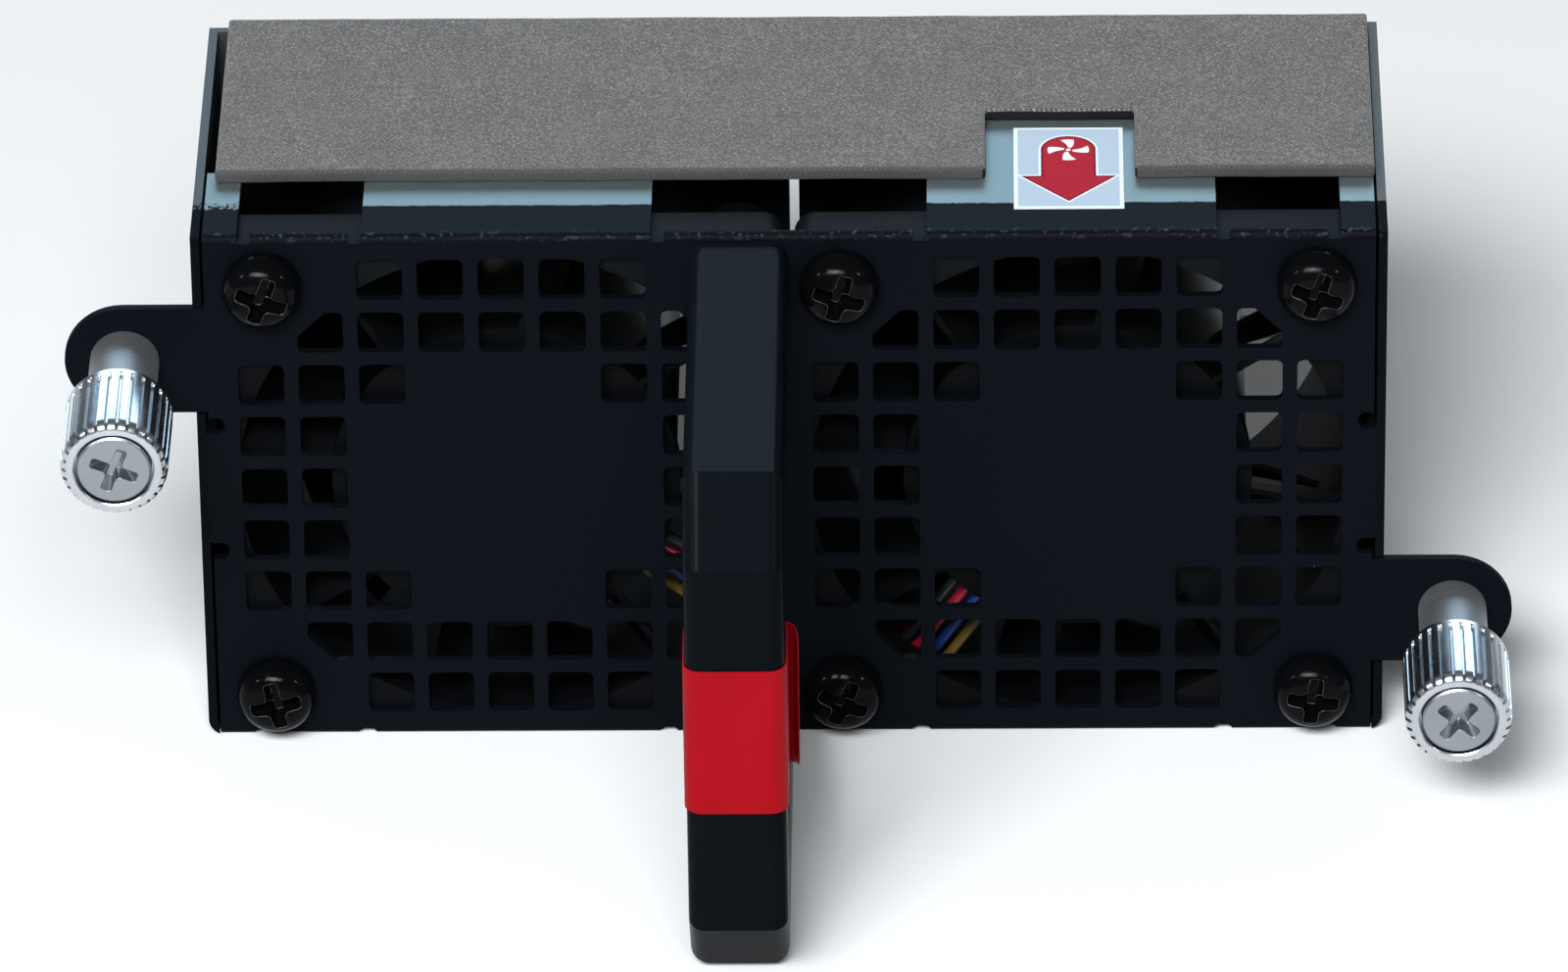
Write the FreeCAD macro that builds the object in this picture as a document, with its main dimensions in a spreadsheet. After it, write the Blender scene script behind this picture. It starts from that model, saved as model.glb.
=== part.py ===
import FreeCAD, Part

import math
import os
import re

import Sketcher

# Dual fan tray: two square axial fans behind a perforated sheet panel, in millimetres.
# +X runs along the panel, +Y points to the rear of the tray, +Z is up.
# The origin is the middle of the two thumbscrews, on the rear face of the panel and its ears.

doc = FreeCAD.newDocument("dual_fan_tray")
sheet = doc.addObject("Spreadsheet::Sheet", "dims")

SIZES = [
    # fans
    ("fan_size", 38.0, "side of the square fan frame"),
    ("fan_depth", 28.0, "depth of a fan frame"),
    ("fan_gap", 0.7, "gap between the two frames"),
    ("fan_hole_inset", 3.0, "from a frame's side to the middle of a corner hole"),
    ("fan_hole", 3.1, "diameter of a corner hole"),
    ("flange", 3.6, "thickness of a frame's end flanges"),
    ("flange_corner", 1.5, "corner radius of the flanges"),
    ("shroud_inset", 0.2, "from a frame's side to the round shroud"),
    ("shroud_wall", 0.7, "wall of the round shroud"),
    ("inlet_flare", 0.8, "chamfer of the bore at the rear"),
    # motor
    ("base_diameter", 23.6, "motor base disc"),
    ("base_front", 0.6, "from the panel to the motor base"),
    ("base_thick", 1.4, "thickness of the motor base"),
    ("vane_count", 8, "guide vanes that carry the motor base"),
    ("vane_depth", 6.0, "length of a guide vane along the air flow"),
    ("vane_thick", 0.9, "thickness of a guide vane"),
    ("vane_sweep", 2.6, "sideways sweep of a guide vane"),
    ("tube_outer", 8.6, "outside of the bearing tube"),
    ("tube_end", 18.6, "rear end of the bearing tube"),
    ("bearing_outer", 7.0, "outside of a ball bearing"),
    ("bearing_width", 2.5, "width of a ball bearing"),
    ("bearing_race", 0.8, "thickness of a bearing ring"),
    ("bearing_front", 3.4, "front of the front bearing"),
    ("bearing_inset", 0.5, "from the tube's end to the rear bearing"),
    ("shield", 0.25, "thickness of a bearing shield"),
    ("bearing_play", 0.05, "running gap at the bearing shields"),
    ("shaft_diameter", 3.0, "motor shaft"),
    ("shaft_front", 2.5, "front end of the shaft"),
    ("board_thick", 0.8, "thickness of the motor board"),
    ("board_diameter", 19.2, "outside of the motor board"),
    ("tube_play", 0.15, "radial gap from the bearing tube to what slides over it"),
    ("core_front", 5.0, "front of the stator core"),
    ("core_length", 9.0, "length of the stator core"),
    ("core_diameter", 17.2, "outside of the stator core"),
    ("core_ring", 1.3, "thickness of the stator's inner ring"),
    ("pole_count", 4, "stator poles"),
    ("pole_width", 2.4, "width of a pole"),
    ("shoe_width", 8.0, "width of a pole shoe"),
    ("shoe_thick", 1.2, "thickness of a pole shoe"),
    ("coil_thick", 0.9, "thickness of a winding around its pole"),
    ("coil_play", 0.05, "gap from a winding to its pole"),
    ("air_gap", 0.4, "gap between stator and magnet"),
    ("magnet_thick", 1.0, "thickness of the magnet ring"),
    ("yoke_thick", 0.6, "wall of the steel rotor cup"),
    ("hub_wall", 0.9, "wall of the impeller hub"),
    ("hub_front", 4.2, "open front end of the hub"),
    ("hub_rear", 22.0, "closed rear end of the hub"),
    ("hub_round", 1.6, "rounding of the hub's nose"),
    ("rotor_recess", 0.5, "how far magnet and cup sit inside the hub"),
    ("magnet_extra", 2.0, "how far the magnet runs past the stator"),
    ("boss_diameter", 5.2, "boss of the steel cup on the shaft"),
    ("boss_length", 1.2, "length of that boss"),
    ("blade_count", 7, "impeller blades"),
    ("blade_turn", 15.4, "direction of the first blade at rest"),
    ("blade_front", 9.0, "front end of the blades"),
    ("blade_rear", 22.0, "rear end of the blades"),
    ("blade_thick", 0.8, "thickness of a blade"),
    ("root_sweep", 6.0, "sideways sweep of a blade at the hub"),
    ("tip_sweep", 11.0, "sideways sweep of a blade at its tip"),
    ("blade_camber", 1.4, "height of a blade's curve"),
    ("tip_gap", 0.5, "gap from blade tips to the shroud"),
    # sheet metal
    ("sheet_thick", 0.6, "thickness of panel and cage sheet"),
    ("fan_clearance", 0.1, "gap above and below the fans"),
    ("side_room", 0.95, "from a fan's side to the panel's edge"),
    ("wall_gap", 0.2, "from the panel's edge to a cage wall"),
    ("bend_radius", 1.2, "outer bend radius of the cage"),
    ("edge_round", 0.5, "outer bend radius of the panel's tabs"),
    ("screw_reach", 5.5, "from the panel's edge to a thumbscrew"),
    ("screw_z", 10.1, "thumbscrew from the middle, upwards"),
    ("ear_height", 8.1, "height of an ear"),
    ("ear_play", 0.15, "gap from an ear to the cage wall"),
    ("top_tab_shift", 0.4, "from a fan's middle to that of its top tab, inwards"),
    ("top_tab_width", 19.4, "width of a top tab"),
    ("top_tab_depth", 24.0, "length of a top tab"),
    ("corner_tab_width", 2.3, "width of a corner tab"),
    ("corner_tab_depth", 8.0, "length of a corner tab, which ends under the gasket"),
    ("low_tab_width", 19.4, "width of a bottom tab"),
    ("low_tab_depth", 5.4, "length of the bottom tabs"),
    ("low_relief", 1.2, "width of the cuts along the bottom edge"),
    ("side_tab_height", 8.6, "height of a side tab"),
    ("side_tab_depth", 9.0, "length of a side tab"),
    ("relief", 0.9, "width of the slots beside the tabs"),
    ("relief_depth", 0.54, "depth of those slots"),
    ("side_relief", 1.3, "round cut at the ends of a side tab"),
    ("side_relief_inset", 0.45, "from the panel's edge to the middle of such a cut"),
    ("grille_margin", 0.32, "from the corner holes to the middle of the grille's outer row"),
    ("hole_bridge", 0.98, "sheet left between two grille holes"),
    ("hole_corner", 0.4, "corner radius of a grille hole"),
    ("hole_screw_cut", 1.9, "corner cut beside a screw"),
    ("panel_hole", 3.4, "clearance hole for a fan screw"),
    # gasket and label
    ("gasket_inset", 0.25, "from the panel's edge to the gasket's end, on average"),
    ("gasket_shift", 0.35, "how far the gasket sits off the middle, to the right"),
    ("gasket_front", 6.5, "front edge of the gasket"),
    ("gasket_back", 0.4, "from the fans' rear to the gasket's rear edge"),
    ("gasket_thick", 1.0, "thickness of the gasket"),
    ("gasket_round", 0.35, "rounding of the gasket's front edge"),
    ("notch_shift", 1.15, "from the fan's middle to that of the gasket's notch, inwards"),
    ("notch_width", 10.0, "width of the gasket's notch"),
    ("notch_rear", 14.4, "rear side of the gasket's notch"),
    ("label_shift", 0.55, "from the fan's middle to that of the label, inwards"),
    ("label_width", 7.4, "width of the label"),
    ("label_front", 2.6, "front edge of the label"),
    ("label_length", 10.8, "length of the label"),
    ("label_thick", 0.1, "thickness of the label"),
    # handle
    ("bar_width", 6.6, "width of the handle's bar"),
    ("bar_thick", 6.2, "thickness of the handle's bar"),
    ("handle_reach", 33.6, "from the panel's front to the grip's front"),
    ("handle_cut_y", 4.1, "corner cut of the handle, outwards"),
    ("handle_cut_z", 5.15, "corner cut of the handle, upwards"),
    ("handle_edge", 1.1, "rounding of the handle's edges"),
    ("handle_inner", 2.4, "inner corner radius of the handle"),
    ("thread_depth", 8.0, "depth of the threaded holes in the handle"),
    ("band_height", 11.0, "height of the red band"),
    ("band_centre", 0.8, "middle of the red band"),
    ("band_thick", 0.15, "thickness of the tape"),
    ("tail_length", 1.3, "free end of the tape"),
    # screws
    ("thread", 3.0, "outside of the screws' thread"),
    ("thread_play", 0.05, "gap from a thread to its hole"),
    ("head_diameter", 5.4, "pan head"),
    ("head_height", 2.5, "height of a pan head"),
    ("head_crown", 0.6, "height of the rounded top of a pan head"),
    ("recess_width", 0.9, "width of the cross recess"),
    ("recess_length", 3.2, "length of the cross recess"),
    ("recess_depth", 1.1, "depth of the cross recess"),
    ("fan_screw_grip", 3.0, "length of a fan screw in the frame"),
    # thumbscrews
    ("knob_diameter", 7.2, "outside of the knob"),
    ("knob_length", 7.3, "length of the knob"),
    ("knob_reach", 14.8, "from the ear's rear to the knob's face"),
    ("knob_bevel", 0.45, "bevel of the knob's face"),
    ("knob_face", 1.9, "thickness of the knob's front"),
    ("knob_lip", 0.5, "thickness of the knob's rear lip"),
    ("knurl_count", 30, "ribs of the knurl"),
    ("knurl_depth", 0.3, "depth of the knurl"),
    ("knurl_width", 0.42, "width of a knurl groove"),
    ("drive_diameter", 5.0, "head of the inner screw"),
    ("drive_height", 1.3, "height of the inner screw's head"),
    ("drive_gap", 0.15, "gap around the inner screw's head"),
    ("collar_diameter", 4.0, "collar that the knob is pressed on"),
    ("neck_diameter", 2.4, "neck of the captive screw"),
    ("neck_play", 0.06, "running gap around the neck"),
    ("tip_length", 4.0, "thread behind the ear"),
    ("tip_chamfer", 0.4, "chamfer of the thread's end"),
    ("sleeve_diameter", 4.65, "outside of the sleeve"),
    ("sleeve_play", 0.12, "running gap around the sleeve"),
    ("sleeve_bore", 3.9, "spring chamber of the sleeve"),
    ("sleeve_floor", 1.5, "floor of the sleeve, behind the spring"),
    ("spigot_diameter", 4.0, "end of the sleeve, pressed in the ear"),
    ("spigot_gap", 0.1, "from the sleeve's end to the ear's rear"),
    ("rim_diameter", 5.7, "rim that keeps the knob on"),
    ("rim_thick", 0.5, "thickness of that rim"),
    ("rim_gap", 0.05, "from the rim to the knob's lip"),
    ("spring_diameter", 3.16, "middle of the spring's wire"),
    ("spring_wire", 0.4, "wire of the spring"),
    ("spring_pitch", 1.25, "pitch of the spring"),
    ("spring_gap", 0.05, "gap at the spring's ends"),
    # leads and plug
    ("wire_diameter", 0.7, "outside of a lead"),
    ("wire_pitch", 1.05, "spacing of the leads"),
    ("wire_bend", 2.4, "bend radius of the leads"),
    ("wire_turn", 6.8, "where the leads start towards the plug"),
    ("wire_gather", 22.5, "where the leads run straight to the plug"),
    ("wire_room", 0.8, "from the shroud to the leads' turn to the rear"),
    ("wire_start", 9.7, "where the leads leave the motor board"),
    ("left_angle", -35.0, "direction of the left fan's leads"),
    ("right_angle", -125.0, "direction of the right fan's leads"),
    ("slot_wall", 0.3, "room around the leads in a slot"),
    ("slot_depth", 3.6, "depth of the slot for the leads"),
    ("plug_x", 0.85, "from the middle to a row of leads at the plug"),
    ("plug_rise", 8.5, "from the tray's floor to the middle of the plug"),
    ("plug_width", 6.0, "width of the plug"),
    ("plug_height", 6.0, "height of the plug housing"),
    ("plug_length", 8.6, "length of the plug"),
    ("plug_wall", 0.8, "wall of the plug"),
    ("plug_floor", 3.0, "solid rear part of the plug"),
    ("plug_flange", 1.2, "collar of the plug, all round"),
    ("plug_collar", 0.8, "thickness of that collar"),
    ("plug_play", 0.1, "gap from the plug to its window"),
    ("pin_size", 0.5, "side of a contact pin"),
    ("pin_length", 5.0, "length of a contact pin"),
    ("lip_half", 6.5, "half the width of the plug's bracket"),
    ("lip_height", 13.7, "height of the plug's bracket"),
    ("lip_gap", 0.4, "from the fans to the plug's bracket"),
    # workshop
    ("overcut", 1.0, "how far a cut runs past what it cuts"),
]

for row, (alias, size, note) in enumerate(SIZES, start=1):
    sheet.set("A%d" % row, note)
    sheet.set("B%d" % row, str(size))
    sheet.setAlias("B%d" % row, alias)

# Sizes that follow from the ones above, as formulas in the same words.
DERIVED = {
    "fan_x": "(fan_size + fan_gap) / 2",
    "fan_hole_pitch": "(fan_size - 2 * fan_hole_inset)",
    "shroud_diameter": "(fan_size - 2 * shroud_inset)",
    "shroud_bore": "(fan_size - 2 * shroud_inset - 2 * shroud_wall)",
    "screw_x": "(half_width + screw_reach)",
    "top_tab_centre": "(fan_x - top_tab_shift)",
    "hole_pitch": "((fan_hole_pitch / 2 + grille_margin) / 4)",
    "hole_size": "(hole_pitch - hole_bridge)",
    "gasket_left": "(gasket_inset + gasket_shift - half_width)",
    "gasket_right": "(half_width - gasket_inset + gasket_shift)",
    "gasket_rear": "(fan_depth - gasket_back)",
    "notch_left": "(fan_x - notch_shift - notch_width / 2)",
    "notch_right": "(fan_x - notch_shift + notch_width / 2)",
    "label_left": "(fan_x - label_shift - label_width / 2)",
    "plug_z": "(plug_rise - half_height)",
    "lip_top": "(lip_height - half_height)",
    "wire_exit": "(shroud_diameter / 2 + wire_room)",
    "half_height": "fan_size / 2 + fan_clearance + sheet_thick",
    "half_width": "fan_size + fan_gap / 2 + side_room",
    "wall_inner": "fan_size + fan_gap / 2 + side_room + wall_gap",
    "grip_front": "(-handle_reach - sheet_thick)",
    "arm_outer": "(fan_hole_pitch + bar_thick) / 2",
    "arm_inner": "(fan_hole_pitch - bar_thick) / 2",
    "handle_x": "(fan_hole_pitch / 2 - (fan_size + fan_gap) / 2)",
    "hub_radius": "(core_diameter / 2 + air_gap + magnet_thick + yoke_thick + hub_wall)",
    "tip_radius": "(shroud_bore / 2 - tip_gap)",
    "knob_rear": "(knob_length - knob_reach)",
    "rim_rear": "(knob_length - knob_reach - knob_lip - rim_gap)",
    "web_rear": "(knob_face - knob_reach)",
    "lip_front": "(fan_depth + lip_gap)",
    "plug_front": "(fan_depth + lip_gap / 2)",
    "base_rear": "(base_front + base_thick)",
    "wire_y": "(base_front + base_thick + board_thick / 2)",
    "ribbon_half": "(1.5 * wire_pitch + wire_diameter / 2 + slot_wall)",
    "magnet_bore": "(core_diameter / 2 + air_gap)",
    "yoke_bore": "(core_diameter / 2 + air_gap + magnet_thick)",
    "yoke_outer": "(core_diameter / 2 + air_gap + magnet_thick + yoke_thick)",
    "rotor_front": "(hub_front + rotor_recess)",
    "rotor_rear": "(hub_rear - hub_wall)",
    "vane_turn": "(left_angle + 180 / vane_count)",
}
ALIASES = {alias for alias, _, _ in SIZES}


def formula(text):
    """Writes a formula's words out as cells of the sheet."""

    def cell(match):
        word = match.group(0)
        if word in DERIVED:
            return "(" + formula(DERIVED[word]) + ")"
        return "dims." + word if word in ALIASES else word

    return re.sub(r"[a-z][a-z_]*", cell, text)


def number(text):
    """The value of a formula."""
    result = sheet.evalExpression(formula(text))
    return float(getattr(result, "Value", result))


doc.recompute()
nodes = []


def bind(thing, prop, text):
    thing.setExpression(prop, formula(text))


def new_body(label, x="0", z="0", kept=True):
    """A sub-part whose own origin sits at x, z."""
    body = doc.addObject("PartDesign::Body", label)
    body.Label = label
    bind(body, "Placement.Base.x", x)
    bind(body, "Placement.Base.z", z)
    if kept:
        nodes.append(body)
    return body


def origin_part(body, role):
    return next(part for part in body.Origin.OriginFeatures if part.Role == role)


def new_sketch(body, plane, offset="0", x="0", y="0"):
    """A sketch on one of the body's own planes, moved by offset along its normal."""
    sketch = body.newObject("Sketcher::SketchObject", body.Label + "_sketch")
    sketch.AttachmentSupport = [(origin_part(body, plane), "")]
    sketch.MapMode = "FlatFace"
    for prop, text in (("x", x), ("y", y), ("z", offset)):
        bind(sketch, "AttachmentOffset.Base." + prop, text)
    return sketch


def polygon(sketch, points):
    """A closed outline whose corners are pairs of formulas."""
    first = sketch.GeometryCount
    count = len(points)
    places = [FreeCAD.Vector(number(x), number(y), 0) for x, y in points]
    lines = [Part.LineSegment(places[i], places[(i + 1) % count]) for i in range(count)]
    sketch.addGeometry(lines, False)
    rules = [
        Sketcher.Constraint("Coincident", first + i, 2, first + (i + 1) % count, 1) for i in range(count)
    ]
    for i, place in enumerate(places):
        rules.append(Sketcher.Constraint("DistanceX", -1, 1, first + i, 1, place.x))
        rules.append(Sketcher.Constraint("DistanceY", -1, 1, first + i, 1, place.y))
    indices = sketch.addConstraint(rules)[count:]
    texts = [text for pair in points for text in pair]
    for index, text in zip(indices, texts):
        sketch.setExpression("Constraints[%d]" % index, formula(text))


def rectangle(sketch, low_x, high_x, low_y, high_y):
    polygon(sketch, [(low_x, low_y), (high_x, low_y), (high_x, high_y), (low_x, high_y)])


def circle(sketch, x, y, diameter):
    """A circle whose centre and diameter are formulas."""
    centre = FreeCAD.Vector(number(x), number(y), 0)
    index = sketch.addGeometry(Part.Circle(centre, FreeCAD.Vector(0, 0, 1), number(diameter) / 2), False)
    for kind, text, place in (("DistanceX", x, centre.x), ("DistanceY", y, centre.y)):
        key = sketch.addConstraint(Sketcher.Constraint(kind, -1, 1, index, 3, place))
        sketch.setExpression("Constraints[%d]" % key, formula(text))
    key = sketch.addConstraint(Sketcher.Constraint("Diameter", index, number(diameter)))
    sketch.setExpression("Constraints[%d]" % key, formula(diameter))


def pad(body, sketch, length):
    feature = body.newObject("PartDesign::Pad", body.Label + "_pad")
    feature.Profile = sketch
    bind(feature, "Length", length)
    return feature


def pocket(body, sketch, length):
    feature = body.newObject("PartDesign::Pocket", body.Label + "_pocket")
    feature.Profile = sketch
    bind(feature, "Length", length)
    return feature


def block(body, x, y, z):
    """Adds a box between pairs of formulas."""
    sketch = new_sketch(body, "XY_Plane", z[0])
    rectangle(sketch, x[0], x[1], y[0], y[1])
    return pad(body, sketch, "(%s) - (%s)" % (z[1], z[0]))


def remove_block(body, x, y, z):
    """Cuts a box between pairs of formulas."""
    sketch = new_sketch(body, "XY_Plane", z[1])
    rectangle(sketch, x[0], x[1], y[0], y[1])
    return pocket(body, sketch, "(%s) - (%s)" % (z[1], z[0]))


def upright_sketch(body, y, x="0", z="0"):
    """A sketch that faces the front, at depth y, with its own origin at x, z."""
    return new_sketch(body, "XZ_Plane", "-(%s)" % y, x, z)


def turned(body, points):
    """Adds a solid of revolution about the body's Y axis, from radius and depth."""
    sketch = new_sketch(body, "XY_Plane")
    polygon(sketch, points)
    feature = body.newObject("PartDesign::Revolution", body.Label + "_turned")
    feature.Profile = sketch
    feature.ReferenceAxis = (sketch, ["V_Axis"])
    feature.Angle = 360
    return feature


def turned_cut(body, points):
    """Cuts a solid of revolution about the body's Y axis."""
    sketch = new_sketch(body, "XY_Plane")
    polygon(sketch, points)
    feature = body.newObject("PartDesign::Groove", body.Label + "_groove")
    feature.Profile = sketch
    feature.ReferenceAxis = (sketch, ["V_Axis"])
    feature.Angle = 360
    return feature


def ring(inner, outer, front, rear):
    """Profile of a plain ring, from its diameters."""
    near, far = "(%s) / 2" % inner, "(%s) / 2" % outer
    return [(near, front), (far, front), (far, rear), (near, rear)]


def repeat(body, feature, count, axis="Y_Axis"):
    """Repeats a feature round an axis."""
    pattern = body.newObject("PartDesign::PolarPattern", body.Label + "_pattern")
    pattern.Originals = [feature]
    pattern.Axis = (origin_part(body, axis), [""]) if isinstance(axis, str) else axis
    pattern.Angle = 360
    bind(pattern, "Occurrences", count)
    body.Tip = pattern
    return pattern


def round_edges(body, wanted, radius):
    """Rounds the edges for which wanted(edge) holds."""
    doc.recompute()
    base = body.Tip
    names = ["Edge%d" % i for i, edge in enumerate(base.Shape.Edges, start=1) if wanted(edge)]
    if not names:
        raise RuntimeError(body.Label + ": no edge to round")
    fillet = body.newObject("PartDesign::Fillet", body.Label + "_fillet")
    fillet.Base = (base, names)
    bind(fillet, "Radius", radius)
    return fillet


def copy_of(body, x, z, turn=0):
    """A linked copy of a body at x, z, turned about the Y axis."""
    link = doc.addObject("App::Link", body.Label + "_copy")
    link.LinkedObject = body
    link.Placement = FreeCAD.Placement(FreeCAD.Vector(), FreeCAD.Rotation(FreeCAD.Vector(0, 1, 0), turn))
    bind(link, "Placement.Base.x", x)
    bind(link, "Placement.Base.z", z)
    return link


def together(label, links):
    """Loose pieces in one object."""
    whole = doc.addObject("Part::Compound", label)
    whole.Label = label
    whole.Links = links
    return whole


def near(value, target):
    return abs(value - target) < 1e-4


def edge_along(edge, axis):
    """True for a straight edge along X, Y or Z."""
    if not isinstance(edge.Curve, Part.Line):
        return False
    return abs(getattr(edge.Curve.Direction, axis)) > 0.999


FANS = (("left", "-fan_x", "left_angle", 1), ("right", "fan_x", "right_angle", -1))
EARS = (("left", "-screw_x", "screw_z"), ("right", "screw_x", "-screw_z"))
CORNERS = [(a, b) for a in (-1, 1) for b in (-1, 1)]


def corner_x(fan_x, a):
    return "%s + (%d) * fan_hole_pitch / 2" % (fan_x, a)


# Front panel: a plate with ears, tabs bent back round the fans, and a grille in front of each fan.
def grille_hole(label, outer_cut):
    """The prism of one square hole with round corners; its upper left corner can be cut straight."""
    body = new_body(label, kept=False)
    sketch = upright_sketch(body, "sheet_thick")
    half = "hole_size / 2"
    points = []
    for a, b in ((-1, -1), (1, -1), (1, 1), (-1, 1)):
        cut = outer_cut if (a, b) == (-1, 1) else "hole_corner"
        along = ("(%d) * (%s - %s)" % (a, half, cut), "(%d) * %s" % (b, half))
        aside = ("(%d) * %s" % (a, half), "(%d) * (%s - %s)" % (b, half, cut))
        inset = "(%s - hole_corner * (1 - sqrt(2) / 2))" % half
        bulge = [("(%d) * %s" % (a, inset), "(%d) * %s" % (b, inset))] if cut == "hole_corner" else []
        points += [aside, *bulge, along] if a * b > 0 else [along, *bulge, aside]
    polygon(sketch, points)
    pad(body, sketch, "3 * sheet_thick")
    return body


def grille():
    """All the grille's holes: per fan a nine by nine field without its middle and its corners."""
    hole = grille_hole("grille_hole", "hole_corner")
    beside_screw = grille_hole("grille_hole_beside_screw", "hole_screw_cut")
    turns = {(-1, 1): 0, (1, 1): 90, (1, -1): 180, (-1, -1): 270}
    links = []
    for _, fan_x, _, _ in FANS:
        for row in range(-4, 5):
            for column in range(-4, 5):
                x = "%s + (%d) * hole_pitch" % (fan_x, column)
                z = "(%d) * hole_pitch" % row
                low, high = sorted((abs(row), abs(column)))
                if (high >= 3 and low <= 2) or low == high == 2:
                    links.append(copy_of(hole, x, z))
                elif low == high == 3:
                    links.append(copy_of(beside_screw, x, z, turns[(column // 3, row // 3)]))
    return together("grille_holes", links)


def bottom_cut(slots, middle):
    """A cut in the bottom edge, narrower towards its end."""
    beyond, end = "-half_height - overcut", "relief_depth - half_height"
    bend = "relief_depth / 2 - half_height"
    left, right = middle + " - low_relief / 2", middle + " + low_relief / 2"
    end_left, end_right = middle + " - low_relief / 4", middle + " + low_relief / 4"
    polygon(
        slots,
        [(left, beyond), (right, beyond), (right, bend), (end_right, end), (end_left, end), (left, bend)],
    )


def front_panel():
    body = new_body("panel_sheet", kept=False)
    plate = upright_sketch(body, "0")
    rectangle(plate, "-half_width", "half_width", "-half_height", "half_height")
    pad(body, plate, "sheet_thick")
    for side, x, z in EARS:
        arm = upright_sketch(body, "0")
        inner = "half_width - wall_gap" if side == "right" else "wall_gap - half_width"
        ends = sorted([x, inner], key=number)
        rectangle(arm, ends[0], ends[1], z + " - ear_height / 2", z + " + ear_height / 2")
        pad(body, arm, "sheet_thick")
        end = upright_sketch(body, "0")
        circle(end, x, z, "ear_height")
        pad(body, end, "sheet_thick")
    top = ("half_height - sheet_thick", "half_height")
    low = ("-half_height", "sheet_thick - half_height")
    for sign in ("-", ""):
        tab = [sign + "(top_tab_centre %s top_tab_width / 2)" % way for way in "-+"]
        tab.sort(key=number)
        block(body, tab, ("-sheet_thick", "top_tab_depth"), top)
        tab = [sign + "(half_width - corner_tab_width)", sign + "half_width"]
        tab.sort(key=number)
        block(body, tab, ("-sheet_thick", "corner_tab_depth"), top)
        tab = [sign + "(top_tab_centre %s low_tab_width / 2)" % way for way in "-+"]
        tab.sort(key=number)
        block(body, tab, ("-sheet_thick", "low_tab_depth"), low)
        tab = [sign + "(wall_inner - sheet_thick)", sign + "wall_inner"]
        tab.sort(key=number)
        block(body, tab, ("-sheet_thick", "side_tab_depth"), ("-side_tab_height / 2", "side_tab_height / 2"))
    front_edge = number("-sheet_thick")
    bend = number("half_height")
    round_edges(
        body,
        lambda edge: edge_along(edge, "x")
        and near(edge.CenterOfMass.y, front_edge)
        and near(abs(edge.CenterOfMass.z), bend),
        "edge_round",
    )
    slots = upright_sketch(body, "-sheet_thick")
    deep = "half_height - relief_depth"
    beyond = "half_height + overcut"
    for sign in ("-", ""):
        for way in "-+":
            middle = sign + "(top_tab_centre %s (top_tab_width + relief) / 2)" % way
            rectangle(slots, middle + " - relief / 2", middle + " + relief / 2", deep, beyond)
            middle = sign + "(top_tab_centre %s (low_tab_width + low_relief) / 2)" % way
            bottom_cut(slots, middle)
        middle = sign + "(half_width - corner_tab_width - relief / 2)"
        rectangle(slots, middle + " - relief / 2", middle + " + relief / 2", deep, beyond)
        bottom_cut(slots, sign + "(half_width - corner_tab_width - low_relief / 2)")
    pocket(body, slots, "sheet_thick")
    holes = upright_sketch(body, "-sheet_thick")
    for _, fan_x, _, _ in FANS:
        for a, b in CORNERS:
            circle(holes, corner_x(fan_x, a), "(%d) * fan_hole_pitch / 2" % b, "panel_hole")
    for _, x, z in EARS:
        circle(holes, x, z, "spigot_diameter")
    for a, b in CORNERS:
        edge = "(%d) * (half_width - side_relief_inset)" % a
        circle(holes, edge, "(%d) * (side_tab_height + side_relief) / 2" % b, "side_relief")
    pocket(body, holes, "sheet_thick")
    panel = doc.addObject("Part::Cut", "front_panel")
    panel.Label = "front_panel"
    panel.Base = body
    panel.Tool = grille()
    nodes.append(panel)


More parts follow.
